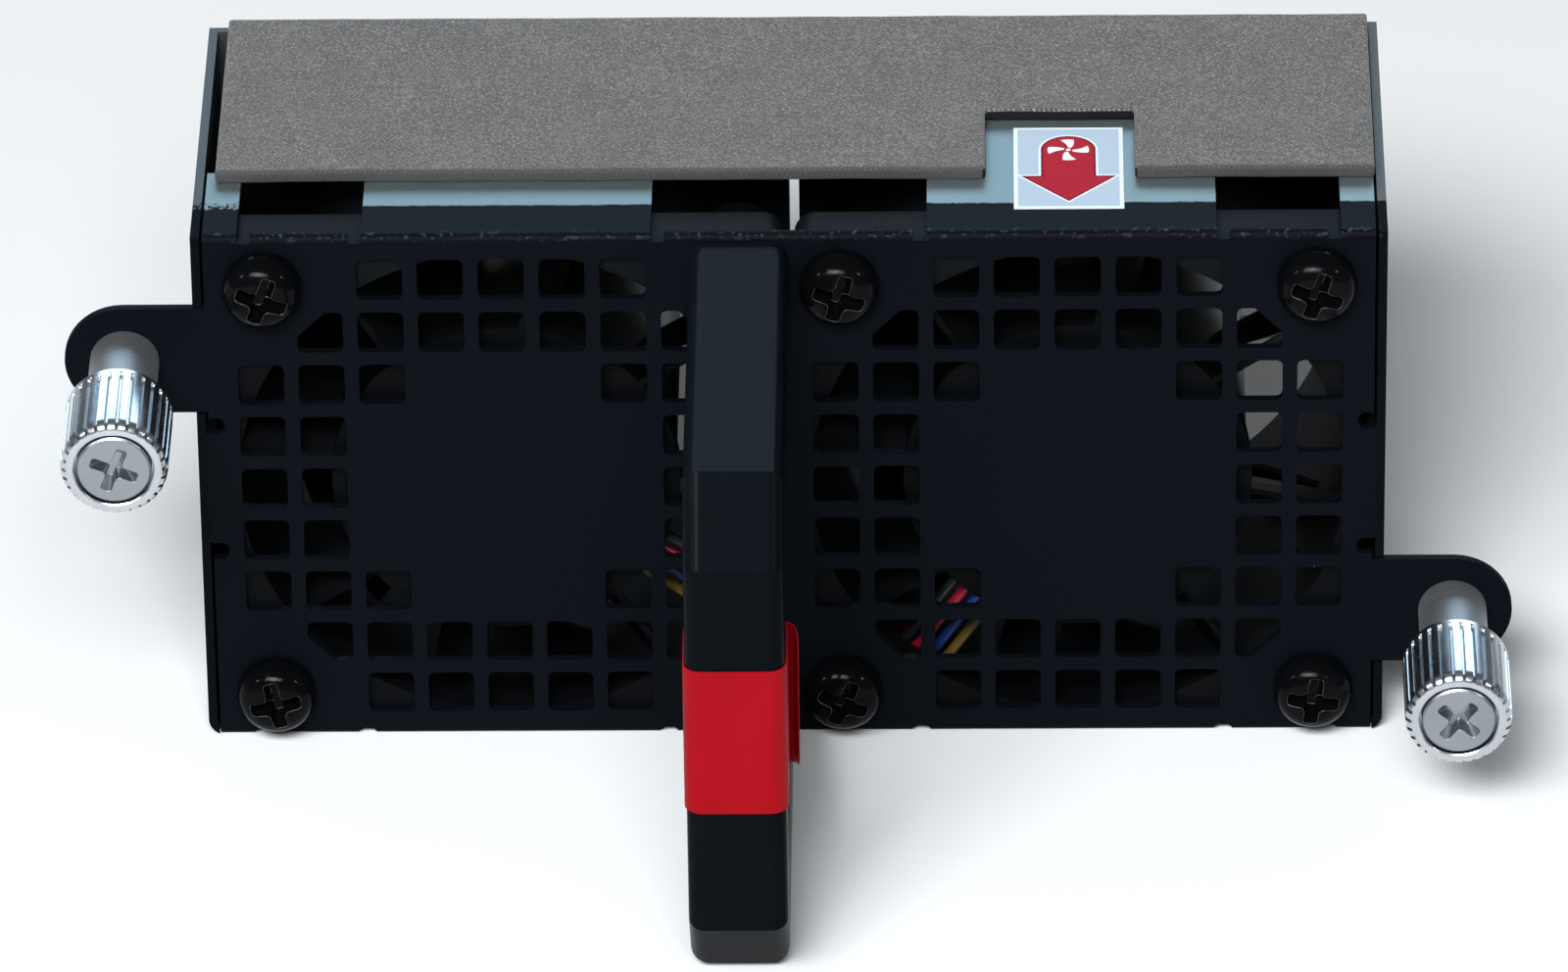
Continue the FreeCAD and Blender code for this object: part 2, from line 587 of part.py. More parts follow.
# Cage: one sheet bent to a U, with a cut-out for the panel's tabs, rear edges turned in beside the fans
# and a bracket for the plug.
def cage():
    body = new_body("cage")
    outer, wall = "(wall_inner + sheet_thick)", "wall_inner"
    profile = upright_sketch(body, "fan_depth")
    floor = "sheet_thick - half_height"
    polygon(
        profile,
        [
            ("-" + outer, "half_height"),
            ("-" + outer, "-half_height"),
            (outer, "-half_height"),
            (outer, "half_height"),
            (wall, "half_height"),
            (wall, floor),
            ("-" + wall, floor),
            ("-" + wall, "half_height"),
        ],
    )
    pad(body, profile, "fan_depth + sheet_thick")
    low = number("-half_height")
    round_edges(body, lambda edge: edge_along(edge, "y") and near(edge.CenterOfMass.z, low), "bend_radius")
    inner_low = number(floor)
    round_edges(
        body,
        lambda edge: edge_along(edge, "y") and near(edge.CenterOfMass.z, inner_low),
        "bend_radius - sheet_thick",
    )
    half = "half_width - corner_tab_width"
    depth = ("-2 * sheet_thick", "low_tab_depth + relief")
    remove_block(body, ("-(%s)" % half, half), depth, ("-half_height - overcut", floor + " + overcut"))
    edge = "half_width + wall_gap / 2"
    heights = ("-half_height - overcut", floor + " + 2 * overcut")
    remove_block(body, ("-(%s)" % edge, edge), ("-2 * sheet_thick", "ear_play"), heights)
    for side, x, z in EARS:
        inside = "-wall_inner + overcut" if side == "left" else "wall_inner - overcut"
        ends = sorted([x, inside], key=number)
        heights = ("%s - ear_height / 2 - ear_play" % z, "%s + ear_height / 2 + ear_play" % z)
        remove_block(body, ends, ("-2 * sheet_thick", "ear_play"), heights)
    for sign in ("-", ""):
        inner = sign + "(half_width - side_room + fan_clearance / 2)"
        ends = sorted([inner, sign + "(wall_inner + sheet_thick / 2)"], key=number)
        heights = (floor + " - sheet_thick / 2", "half_height")
        block(body, ends, ("fan_depth - sheet_thick", "fan_depth"), heights)
    lip, lip_rear = ("-lip_half", "lip_half"), "lip_front + sheet_thick"
    block(body, lip, ("fan_depth - overcut", lip_rear), ("-half_height", floor))
    block(body, lip, ("lip_front", lip_rear), ("-half_height", "lip_top"))
    window = ("plug_z - plug_height / 2 - plug_play", "plug_z + plug_height / 2 + plug_play")
    across = ("-plug_width / 2 - plug_play", "plug_width / 2 + plug_play")
    remove_block(body, across, ("lip_front - overcut", "lip_front + sheet_thick + overcut"), window)
    return body


# Gasket: fabric-covered foam along the top, with a notch that leaves the label in view.
def gasket():
    body = new_body("emi_gasket")
    outline = new_sketch(body, "XY_Plane", "half_height")
    polygon(
        outline,
        [
            ("gasket_left", "gasket_front"),
            ("notch_left", "gasket_front"),
            ("notch_left", "notch_rear"),
            ("notch_right", "notch_rear"),
            ("notch_right", "gasket_front"),
            ("gasket_right", "gasket_front"),
            ("gasket_right", "gasket_rear"),
            ("gasket_left", "gasket_rear"),
        ],
    )
    pad(body, outline, "gasket_thick")
    top = number("half_height + gasket_thick")
    front = number("gasket_front")
    round_edges(
        body,
        lambda edge: edge_along(edge, "x")
        and near(edge.CenterOfMass.z, top)
        and near(edge.CenterOfMass.y, front),
        "gasket_round",
    )
    return body


def label():
    body = new_body("airflow_label")
    across = ("label_left", "label_left + label_width")
    along = ("label_front", "label_front + label_length")
    block(body, across, along, ("half_height", "half_height + label_thick"))
    return body


# Handle: a D with cut outer corners, threaded at both ends for the screws behind the panel.
def pull_handle():
    body = new_body("pull_handle", "handle_x")
    side = new_sketch(body, "YZ_Plane", "-bar_width / 2")
    back = "-sheet_thick"
    cut_y = "grip_front + handle_cut_y"
    cut_z = "arm_outer - handle_cut_z"
    grip_rear = "grip_front + bar_thick"
    polygon(
        side,
        [
            (back, "arm_outer"),
            (cut_y, "arm_outer"),
            ("grip_front", cut_z),
            ("grip_front", "-(%s)" % cut_z),
            (cut_y, "-arm_outer"),
            (back, "-arm_outer"),
            (back, "-arm_inner"),
            (grip_rear, "-arm_inner"),
            (grip_rear, "arm_inner"),
            (back, "arm_inner"),
        ],
    )
    pad(body, side, "bar_width")
    inner_y, inner_z = number(grip_rear), number("arm_inner")
    round_edges(
        body,
        lambda edge: edge_along(edge, "x")
        and near(edge.CenterOfMass.y, inner_y)
        and near(abs(edge.CenterOfMass.z), inner_z),
        "handle_inner",
    )
    half, root = number("bar_width / 2"), number(back)
    round_edges(
        body,
        lambda edge: near(abs(edge.CenterOfMass.x), half) and not near(edge.CenterOfMass.y, root),
        "handle_edge",
    )
    for sign in ("-", ""):
        thread = upright_sketch(body, back + " - thread_depth")
        circle(thread, "0", sign + "fan_hole_pitch / 2", "thread + 2 * thread_play")
        pocket(body, thread, "thread_depth")
    return body


# Band: a turn of tape round the grip, its free end standing off at the back.
def grip_slice(body, extra):
    """A slice of the grip as tall as the band, grown by extra all round."""
    outline = new_sketch(body, "XY_Plane", "band_centre - band_height / 2")
    across = "bar_width / 2 + " + extra
    depths = ("grip_front - " + extra, "grip_front + bar_thick + " + extra)
    rectangle(outline, "-(%s)" % across, across, *depths)
    pad(body, outline, "band_height")
    round_edges(body, lambda edge: edge_along(edge, "z"), "handle_edge + " + extra)


def handle_band():
    grip = new_body("band_inside", kept=False)
    grip_slice(grip, "0")
    body = new_body("handle_band", "handle_x")
    grip_slice(body, "band_thick")
    hollow = body.newObject("PartDesign::Boolean", "band_hollow")
    hollow.Type = "Cut"
    hollow.Group = [grip]
    grip_rear = "grip_front + bar_thick"
    across = ("bar_width / 2 - 2 * handle_edge", "bar_width / 2 + tail_length")
    heights = ("band_centre - band_height / 2", "band_centre + band_height / 2")
    block(body, across, (grip_rear, grip_rear + " + band_thick"), heights)
    return body


# Screws: pan heads with a cross recess, in two groups.
def pan_screw(label, seat, way, length):
    """A pan-head screw on the Y axis: its head stands on seat, towards way, its thread behind it."""
    body = new_body(label, kept=False)
    radius, neck = "head_diameter / 2", "thread / 2"
    crown = "%s + (%d) * (head_height - head_crown)" % (seat, way)
    top = "%s + (%d) * head_height" % (seat, way)
    end = "%s - (%d) * (%s)" % (seat, way, length)
    chamfer = "%s - (%d) * (%s - tip_chamfer)" % (seat, way, length)
    turned(
        body,
        [
            ("0", top),
            ("%s - 2 * head_crown" % radius, top),
            ("%s - head_crown / 2" % radius, "(%s + %s) / 2" % (top, crown)),
            (radius, crown),
            (radius, seat),
            (neck, seat),
            (neck, chamfer),
            ("%s - tip_chamfer" % neck, end),
            ("0", end),
        ],
    )
    floor = "%s + (%d) * (head_height - recess_depth)" % (seat, way)
    depths = sorted([floor, top + " + (%d) * overcut" % way], key=number)
    for long, wide in (("recess_length", "recess_width"), ("recess_width", "recess_length")):
        remove_block(body, ("-%s / 2" % long, long + " / 2"), depths, ("-%s / 2" % wide, wide + " / 2"))
    return body


def panel_screws():
    front = pan_screw("fan_screw", "-sheet_thick", -1, "sheet_thick + fan_screw_grip")
    rear = pan_screw("handle_screw", "flange", 1, "flange + sheet_thick + thread_depth - 2 * tip_chamfer")
    fan_places, handle_places = [], []
    for side, fan_x, _, _ in FANS:
        for a, b in CORNERS:
            place = (corner_x(fan_x, a), "(%d) * fan_hole_pitch / 2" % b)
            (handle_places if side == "left" and a > 0 else fan_places).append(place)
    nodes.append(together("fan_screws", [copy_of(front, x, z) for x, z in fan_places]))
    nodes.append(together("handle_screws", [copy_of(rear, x, z) for x, z in handle_places]))


# Thumbscrews: a knurled knob pressed on a captive screw, sliding on a sleeve against a spring.
def thumbscrew(side, x, z):
    knob = new_body(side + "_thumb_knob", x, z)
    outer, bore = "knob_diameter / 2", "rim_diameter / 2 + sleeve_play"
    face, rear = "-knob_reach", "knob_rear"
    lip = "sleeve_diameter / 2 + sleeve_play"
    recess = "drive_diameter / 2 + drive_gap"
    seat = "drive_height - knob_reach"
    collar = "collar_diameter / 2"
    turned(
        knob,
        [
            (recess, face),
            (outer + " - knob_bevel", face),
            (outer, face + " + knob_bevel"),
            (outer, rear),
            (lip, rear),
            (lip, rear + " - knob_lip"),
            (bore, rear + " - knob_lip"),
            (bore, "web_rear"),
            (collar, "web_rear"),
            (collar, seat),
            (recess, seat),
        ],
    )
    groove = upright_sketch(knob, face + " + knob_bevel")
    polygon(
        groove,
        [
            ("-knurl_width / 2", outer + " + knurl_depth"),
            ("-knurl_width / 4", outer + " - knurl_depth"),
            ("knurl_width / 4", outer + " - knurl_depth"),
            ("knurl_width / 2", outer + " + knurl_depth"),
        ],
    )
    repeat(knob, pocket(knob, groove, "knob_length - knob_bevel"), "knurl_count")

    screw = new_body(side + "_captive_screw", x, z)
    neck, thread = "neck_diameter / 2", "thread / 2"
    turned(
        screw,
        [
            ("0", face),
            ("drive_diameter / 2", face),
            ("drive_diameter / 2", seat),
            ("collar_diameter / 2", seat),
            ("collar_diameter / 2", "web_rear"),
            (neck, "web_rear"),
            (neck, "0"),
            (thread, "0"),
            (thread, "tip_length - tip_chamfer"),
            (thread + " - tip_chamfer", "tip_length"),
            ("0", "tip_length"),
        ],
    )
    depths = (face + " - overcut", face + " + recess_depth")
    for long, wide in (("recess_length", "recess_width"), ("recess_width", "recess_length")):
        remove_block(screw, ("-%s / 2" % long, long + " / 2"), depths, ("-%s / 2" % wide, wide + " / 2"))

    sleeve = new_body(side + "_screw_sleeve", x, z)
    hole = "neck_diameter / 2 + neck_play"
    floor = "-spigot_gap - sleeve_floor"
    turned(
        sleeve,
        [
            (hole, "-spigot_gap"),
            ("spigot_diameter / 2", "-spigot_gap"),
            ("spigot_diameter / 2", "-sheet_thick"),
            ("sleeve_diameter / 2", "-sheet_thick"),
            ("sleeve_diameter / 2", "rim_rear"),
            ("rim_diameter / 2", "rim_rear"),
            ("rim_diameter / 2", "rim_rear - rim_thick"),
            ("sleeve_bore / 2", "rim_rear - rim_thick"),
            ("sleeve_bore / 2", floor),
            (hole, floor),
        ],
    )

    spring = new_body(side + "_screw_spring", x, z)
    half_wire = "spring_wire / 2"
    start = "web_rear + spring_gap + " + half_wire
    wire = new_sketch(spring, "XY_Plane")
    circle(wire, "spring_diameter / 2", start, "spring_wire")
    coil = spring.newObject("PartDesign::AdditiveHelix", spring.Label + "_coil")
    coil.Profile = wire
    coil.ReferenceAxis = (wire, ["V_Axis"])
    coil.Mode = 0
    bind(coil, "Pitch", "spring_pitch")
    bind(coil, "Height", "%s - spring_gap - spring_wire / 2 - (%s)" % (floor, start))


# Fans: frame, motor and impeller, each made about its own shaft.
def section(sketch, front, rear, sweep, camber, thick):
    """A thin curved section in depth and height: the four stations of a blade, there and back."""
    stations = [(k, 3 - k) for k in range(4)]
    near_side, far_side = [], []
    for k, rest in stations:
        depth = "%s + (%s - %s) * %d / 3" % (front, rear, front, k)
        middle = "%s * (%d - %d) / 6 - %s * 4 * %d / 9" % (sweep, rest, k, camber, k * rest)
        half = thick + (" / 2" if k * rest else " / 4")
        near_side.append((depth, "%s - %s" % (middle, half)))
        far_side.append((depth, "%s + %s" % (middle, half)))
    polygon(sketch, near_side + far_side[::-1])


def loft(body, root, tip):
    feature = body.newObject("PartDesign::AdditiveLoft", body.Label + "_loft")
    feature.Profile = root
    feature.Sections = [tip]
    feature.Ruled = True
    return feature


def radial_sketch(body, radius, turn="0"):
    """A sketch square to a radius, turned from +X towards +Z."""
    along, aside = "(%s) * cos(%s)" % (radius, turn), "(%s) * sin(%s)" % (radius, turn)
    sketch = new_sketch(body, "YZ_Plane", along, "0", aside)
    sketch.AttachmentOffset = FreeCAD.Placement(
        sketch.AttachmentOffset.Base, FreeCAD.Rotation(FreeCAD.Vector(1, 0, 0), 1.0)
    )
    bind(sketch, "AttachmentOffset.Rotation.Angle", "-(%s)" % turn)
    return sketch


def fan_frame(side, fan_x, angle, inward):
    body = new_body(side + "_fan_frame", fan_x)
    half = "fan_size / 2"
    for rear in ("flange", "fan_depth"):
        plate = upright_sketch(body, rear)
        rectangle(plate, "-" + half, half, "-" + half, half)
        pad(body, plate, "flange")
    reach = number(half)
    round_edges(
        body,
        lambda edge: edge_along(edge, "y") and near(abs(edge.CenterOfMass.z), reach),
        "flange_corner",
    )
    tube = upright_sketch(body, "fan_depth - flange / 2")
    circle(tube, "0", "0", "shroud_diameter")
    pad(body, tube, "fan_depth - flange")
    turned_cut(body, ring("0", "shroud_bore", "-overcut", "fan_depth + overcut"))
    lip, throat = "shroud_bore / 2 + inlet_flare", "shroud_bore / 2 - inlet_flare"
    turned_cut(
        body,
        [
            (throat, "fan_depth - 2 * inlet_flare"),
            (lip, "fan_depth"),
            (lip, "fan_depth + overcut"),
            (throat, "fan_depth + overcut"),
        ],
    )
    vane = ("base_front", "base_front + vane_depth", "vane_sweep", "0", "vane_thick")
    root = radial_sketch(body, "base_diameter / 2 - vane_thick", "vane_turn")
    section(root, *vane)
    tip = radial_sketch(body, "(shroud_bore + shroud_diameter) / 4", "vane_turn")
    section(tip, *vane)
    repeat(body, loft(body, root, tip), "vane_count")
    turned_cut(body, ring("0", "base_diameter", "base_front - overcut", "base_front + vane_depth + overcut"))
    turned(body, ring("0", "base_diameter", "base_front", "base_rear"))
    turned(body, ring("bearing_outer", "tube_outer", "base_rear", "tube_end"))
    screws = upright_sketch(body, "0")
    for a, b in CORNERS:
        circle(screws, "(%d) * fan_hole_pitch / 2" % a, "(%d) * fan_hole_pitch / 2" % b, "fan_hole")
    pocket(body, screws, "fan_depth")
    outer, inner = "wire_exit + wire_diameter / 2 + slot_wall", "shroud_bore / 2 - slot_wall"
    slot = radial_sketch(body, outer, angle)
    front = "wire_y - wire_diameter / 2 - slot_wall"
    rectangle(slot, front, front + " + slot_depth", "-ribbon_half", "ribbon_half")
    pocket(body, slot, "%s - (%s)" % (outer, inner))
    room = ["(%d) * (fan_x - plug_x - wire_diameter / 2 - slot_wall)" % inward, "(%d) * fan_size" % inward]
    heights = ("plug_z - ribbon_half", "plug_z + ribbon_half")
    depths = ("fan_depth - flange - overcut", "fan_depth + overcut")
    remove_block(body, sorted(room, key=number), depths, heights)


def fan_motor(side, fan_x):
    fronts = ("bearing_front", "tube_end - bearing_inset - bearing_width")
    outer = new_body(side + "_bearing_outer", fan_x)
    race = "bearing_outer / 2 - bearing_race"
    shield = "shaft_diameter / 2 + bearing_race + bearing_play"
    for front in fronts:
        rear = front + " + bearing_width"
        turned(
            outer,
            [
                ("bearing_outer / 2", front),
                ("bearing_outer / 2", rear),
                (shield, rear),
                (shield, rear + " - shield"),
                (race, rear + " - shield"),
                (race, front + " + shield"),
                (shield, front + " + shield"),
                (shield, front),
            ],
        )
    inner = new_body(side + "_bearing_inner", fan_x)
    for front in fronts:
        wide = "shaft_diameter + 2 * bearing_race"
        turned(inner, ring("shaft_diameter", wide, front, front + " + bearing_width"))

    board = new_body(side + "_motor_board", fan_x)
    inside = "tube_outer + 2 * tube_play"
    turned(board, ring(inside, "board_diameter", "base_rear", "base_rear + board_thick"))

    core = new_body(side + "_stator_core", fan_x)
    core_rear = "core_front + core_length"
    turned(core, ring("tube_outer", "tube_outer + 2 * core_ring", "core_front", core_rear))
    pole = upright_sketch(core, core_rear)
    half_pole, half_shoe, shoe = "pole_width / 2", "shoe_width / 2", "core_diameter / 2 - shoe_thick"
    polygon(
        pole,
        [
            ("tube_outer / 2 + core_ring / 2", "-" + half_pole),
            (shoe, "-" + half_pole),
            (shoe, "-" + half_shoe),
            ("core_diameter / 2 + overcut", "-" + half_shoe),
            ("core_diameter / 2 + overcut", half_shoe),
            (shoe, half_shoe),
            (shoe, half_pole),
            ("tube_outer / 2 + core_ring / 2", half_pole),
        ],
    )
    repeat(core, pad(core, pole, "core_length"), "pole_count")
    turned_cut(core, ring("core_diameter", "2 * core_diameter", "0", "fan_depth"))

    coils = new_body(side + "_stator_coils", fan_x)
    start = "tube_outer / 2 + core_ring + 3 * coil_play"
    winding = radial_sketch(coils, start)
    for grow in ("coil_play", "(coil_play + coil_thick)"):
        depths = ("core_front - " + grow, core_rear + " + " + grow)
        rectangle(winding, depths[0], depths[1], "-pole_width / 2 - " + grow, "pole_width / 2 + " + grow)
    repeat(coils, pad(coils, winding, "%s - coil_play - (%s)" % (shoe, start)), "pole_count")

    magnet = new_body(side + "_rotor_magnet", fan_x)
    turned(magnet, ring("2 * magnet_bore", "2 * yoke_bore", "rotor_front", core_rear + " + magnet_extra"))

    yoke = new_body(side + "_rotor_yoke", fan_x)
    plate = "rotor_rear - yoke_thick"
    turned(
        yoke,
        [
            ("yoke_bore", "rotor_front"),
            ("yoke_outer", "rotor_front"),
            ("yoke_outer", "rotor_rear"),
            ("shaft_diameter / 2", "rotor_rear"),
            ("shaft_diameter / 2", plate + " - boss_length"),
            ("boss_diameter / 2", plate + " - boss_length"),
            ("boss_diameter / 2", plate),
            ("yoke_bore", plate),
        ],
    )

    shaft = new_body(side + "_shaft", fan_x)
    turned(shaft, ring("0", "shaft_diameter", "shaft_front", "rotor_rear"))


def fan_impeller(side, fan_x):
    body = new_body(side + "_impeller", fan_x)
    turned(
        body,
        [
            ("0", "hub_front"),
            ("hub_radius", "hub_front"),
            ("hub_radius", "hub_rear - hub_round"),
            ("hub_radius - hub_round / 3", "hub_rear - hub_round / 3"),
            ("hub_radius - hub_round", "hub_rear"),
            ("0", "hub_rear"),
        ],
    )
    root = radial_sketch(body, "yoke_outer - hub_wall", "blade_turn")
    section(root, "blade_front", "blade_rear", "root_sweep", "blade_camber", "blade_thick")
    tip = radial_sketch(body, "tip_radius + overcut", "blade_turn")
    section(tip, "blade_front", "blade_rear", "tip_sweep", "blade_camber", "blade_thick")
    repeat(body, loft(body, root, tip), "blade_count")
    envelope = new_body(side + "_blade_envelope", kept=False)
    turned(envelope, ring("0", "2 * tip_radius", "hub_front - overcut", "hub_rear + overcut"))
    trim = body.newObject("PartDesign::Boolean", side + "_blade_trim")
    trim.Type = "Common"
    trim.Group = [envelope]
    turned_cut(body, ring("0", "2 * yoke_outer", "hub_front - overcut", "rotor_rear"))


# Leads: four per fan, from the motor board through the frame's slot and between the fans to the plug.
def rounded_path(points, radius):
    """A line through the points, with its corners rounded."""
    edges, start = [], points[0]
    for before, corner, after in zip(points, points[1:], points[2:]):
        back, ahead = (before - corner).normalize(), (after - corner).normalize()
        half = back.getAngle(ahead) / 2
        inward = (back + ahead).normalize()
        cut = radius / math.tan(half)
        first, last = corner + back * cut, corner + ahead * cut
        middle = corner + inward * (radius / math.sin(half) - radius)
        edges.append(Part.LineSegment(start, first).toShape())
        edges.append(Part.Arc(first, middle, last).toShape())
        start = last
    edges.append(Part.LineSegment(start, points[-1]).toShape())
    return Part.Wire(edges)


def fan_leads(side, fan_x, angle, inward):
    turn = math.radians(number(angle))
    outward = FreeCAD.Vector(math.cos(turn), 0, math.sin(turn))
    aside = FreeCAD.Vector(-outward.z, 0, outward.x)
    if aside.z < 0:
        aside = aside * -1
    centre = FreeCAD.Vector(number(fan_x), 0, 0)
    back = FreeCAD.Vector(0, 1, 0)
    plug = FreeCAD.Vector(-inward * number("plug_x"), 0, number("plug_z"))
    up = FreeCAD.Vector(0, 0, 1)
    for index, colour in enumerate(("yellow", "blue", "red", "black")):
        shift = (index - 1.5) * number("wire_pitch")
        start = centre + outward * number("wire_start") + aside * shift
        leave = centre + outward * number("wire_exit") + aside * shift
        end = plug + up * shift
        points = [
            start + back * number("wire_y"),
            leave + back * number("wire_y"),
            leave + back * number("wire_turn"),
            end + back * number("wire_gather"),
            end + back * number("plug_front"),
        ]
        path = rounded_path(points, number("wire_bend"))
        profile = Part.Wire(Part.makeCircle(number("wire_diameter") / 2, points[0], outward))
        lead = doc.addObject("Part::Feature", side + "_lead_" + colour)
        lead.Label = side + "_lead_" + colour
        lead.Shape = path.makePipeShell([profile], True, True)
        nodes.append(lead)


# Plug: a housing through the cage's bracket, with two rows of pins in its open end.
def plug():
    housing = new_body("connector_housing")
    low, high = "plug_z - plug_height / 2", "plug_z + plug_height / 2"
    wide, rear = "plug_width / 2", "plug_front + plug_length"
    block(housing, ("-" + wide, wide), ("plug_front", rear), (low, high))
    seat = "lip_front + sheet_thick"
    collar = wide + " + plug_flange"
    depths = (seat, seat + " + plug_collar")
    block(housing, ("-(%s)" % collar, collar), depths, (low + " - plug_flange", high + " + plug_flange"))
    hollow, floor = wide + " - plug_wall", "plug_front + plug_floor"
    remove_block(
        housing,
        ("-(%s)" % hollow, hollow),
        (floor, rear + " + overcut"),
        (low + " + plug_wall", high + " - plug_wall"),
    )
    pins = new_body("connector_pins")
    rows = upright_sketch(pins, floor + " + pin_length")
    for sign in "-+":
        for index in range(4):
            x = "(%s1) * plug_x" % sign
            z = "plug_z + (%d - 1.5) * wire_pitch" % index
            half = "pin_size / 2"
            rectangle(rows, x + " - " + half, x + " + " + half, z + " - " + half, z + " + " + half)
    pad(pins, rows, "pin_length")


for step in (front_panel, cage, gasket, label, pull_handle, handle_band, panel_screws):
    step()
for ear in EARS:
    thumbscrew(*ear)
for fan in FANS:
    fan_frame(*fan)
    fan_motor(*fan[:2])
    fan_impeller(*fan[:2])
    fan_leads(*fan)
plug()
doc.recompute()

# Every feature must have worked and every sub-part must be sound before anything is written.
for thing in doc.Objects:
    if "Invalid" in thing.State or "Error" in thing.State:
        raise RuntimeError("%s failed: %s" % (thing.Name, thing.State))
os.makedirs("parts", exist_ok=True)
for node in nodes:
    if node.Shape.isNull() or not node.Shape.isValid() or not node.Shape.Solids:
        raise RuntimeError(node.Label + " has no sound shape")
    node.Shape.exportStep(os.path.join("parts", node.Label + ".step"))
    print("%-22s %d solids, %9.2f cubic mm" % (node.Label, len(node.Shape.Solids), node.Shape.Volume))
print(len(nodes), "sub-parts written")
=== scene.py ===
# %% [markdown]
# # A fan tray, dressed in Blender
# The CAD model gives every piece its place and size. This lesson keeps the solids whose shape is right
# and gives them real finishes, and models again, in finer detail, the screws, the thumbscrews and their
# springs, the gasket and the red tape. Everything is in metres, in the CAD model's own frame.

# %% Load the frame
import math

import bmesh
import bpy
from mathutils import Matrix, Vector


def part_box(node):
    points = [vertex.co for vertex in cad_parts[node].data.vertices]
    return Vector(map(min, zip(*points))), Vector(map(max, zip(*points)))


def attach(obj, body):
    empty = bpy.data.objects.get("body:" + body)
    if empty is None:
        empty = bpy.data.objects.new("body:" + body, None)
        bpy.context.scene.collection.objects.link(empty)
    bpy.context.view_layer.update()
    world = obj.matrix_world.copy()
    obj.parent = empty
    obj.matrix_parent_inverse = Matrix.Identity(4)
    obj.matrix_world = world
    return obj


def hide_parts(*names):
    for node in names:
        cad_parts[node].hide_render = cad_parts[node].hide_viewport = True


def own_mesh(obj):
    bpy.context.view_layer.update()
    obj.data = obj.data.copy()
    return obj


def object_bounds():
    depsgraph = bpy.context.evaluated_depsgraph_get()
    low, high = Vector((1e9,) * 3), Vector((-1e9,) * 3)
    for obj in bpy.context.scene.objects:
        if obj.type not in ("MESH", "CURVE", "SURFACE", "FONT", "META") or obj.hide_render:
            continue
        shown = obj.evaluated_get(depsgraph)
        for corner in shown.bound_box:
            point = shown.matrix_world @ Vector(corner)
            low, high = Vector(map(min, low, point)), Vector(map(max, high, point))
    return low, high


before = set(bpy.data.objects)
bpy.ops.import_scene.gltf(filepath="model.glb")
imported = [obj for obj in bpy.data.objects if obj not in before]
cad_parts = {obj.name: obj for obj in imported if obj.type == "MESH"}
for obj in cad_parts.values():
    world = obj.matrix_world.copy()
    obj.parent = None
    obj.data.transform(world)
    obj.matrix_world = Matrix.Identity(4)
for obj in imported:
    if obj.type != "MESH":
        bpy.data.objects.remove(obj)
cad_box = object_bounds()
MM = 0.001
TO_MM = 1000
PANEL_FRONT = -0.6  # the panel's front face, in millimetres
SIDES = ("left", "right")

# %% [markdown]
# ## The camera
# The photograph was taken from far away with a long lens, a little to the left and well above the tray,
# so lines stay nearly parallel. A camera could be placed by eye, but here its angles were worked out from
# the regular grid of holes in the panel, so the holes of the render fall on those of the photograph. The
# camera's three axes are built from yaw, elevation and roll, and the camera backs away from the panel
# along its own axis.

# %% Camera
elevation, yaw, roll = math.radians(31.32), math.radians(-1.01), math.radians(0.80)
ahead = Vector((math.sin(yaw), math.cos(yaw), 0))
level = Vector((math.cos(yaw), -math.sin(yaw), 0))
up = Vector((0, 0, 1)) * math.cos(elevation) + ahead * math.sin(elevation)
back = Vector((0, 0, 1)) * math.sin(elevation) - ahead * math.cos(elevation)
camera_right = level * math.cos(roll) - up * math.sin(roll)
camera_up = level * math.sin(roll) + up * math.cos(roll)
distance, slide = 915.6 * MM, 0.53 * MM

camera_data = bpy.data.cameras.new("tray_camera")
camera_data.sensor_width = 36.0
camera_data.lens = 310.7
camera_data.clip_start = 0.01
camera = bpy.data.objects.new("tray_camera", camera_data)
bpy.context.scene.collection.objects.link(camera)
spot = back * distance - camera_right * slide + Vector((0, PANEL_FRONT * MM, 0))
camera.matrix_world = Matrix((
    (camera_right.x, camera_up.x, back.x, spot.x),
    (camera_right.y, camera_up.y, back.y, spot.y),
    (camera_right.z, camera_up.z, back.z, spot.z),
    (0, 0, 0, 1),
))
bpy.context.scene.camera = camera
print("camera at", [round(v, 3) for v in spot])

# %% [markdown]
# ## Floor and light
# The tray stands on white, lit softly, as for a catalogue. An even sky would do, but it greys every black
# surface, so it is kept low and broad lamps do the rest. Two stand high in front, so the tray's own
# shadow falls behind it and the view through the fans stays dim. The handle's upper cut would mirror
# them, so the handle has a lamp of its own, higher up. One stands low behind the tray, which the level
# surfaces mirror towards the camera, with a second for the panel alone and a third for the blades alone,
# which would be lost in the dark behind their vanes. Two small ones at the sides put sharp glints on the
# screws and the knobs. None of these lights the floor. The standard view keeps the white white and the
# tape as red as it is.

# %% Floor and light
def deselect_all():
    if bpy.context.mode != "OBJECT":
        bpy.ops.object.mode_set(mode="OBJECT")
    bpy.ops.object.select_all(action="DESELECT")


deselect_all()
FLOOR_GAP, FLOOR_SIZE = 0.05 * MM, 6.0
floor_height = cad_box[0].z - FLOOR_GAP
bpy.ops.mesh.primitive_plane_add(size=FLOOR_SIZE, location=(0, 0, floor_height))
floor = bpy.context.object
floor.name = "studio_floor"
bpy.ops.object.transform_apply(location=True, rotation=True, scale=True)

bpy.context.scene.view_settings.view_transform = "Standard"
world = bpy.data.worlds.new("studio_sky")
bpy.context.scene.world = world
world.use_nodes = True
sky = world.node_tree.nodes["Background"]
sky.inputs["Color"].default_value = (0.96, 0.98, 1.0, 1)
sky.inputs["Strength"].default_value = 0.135


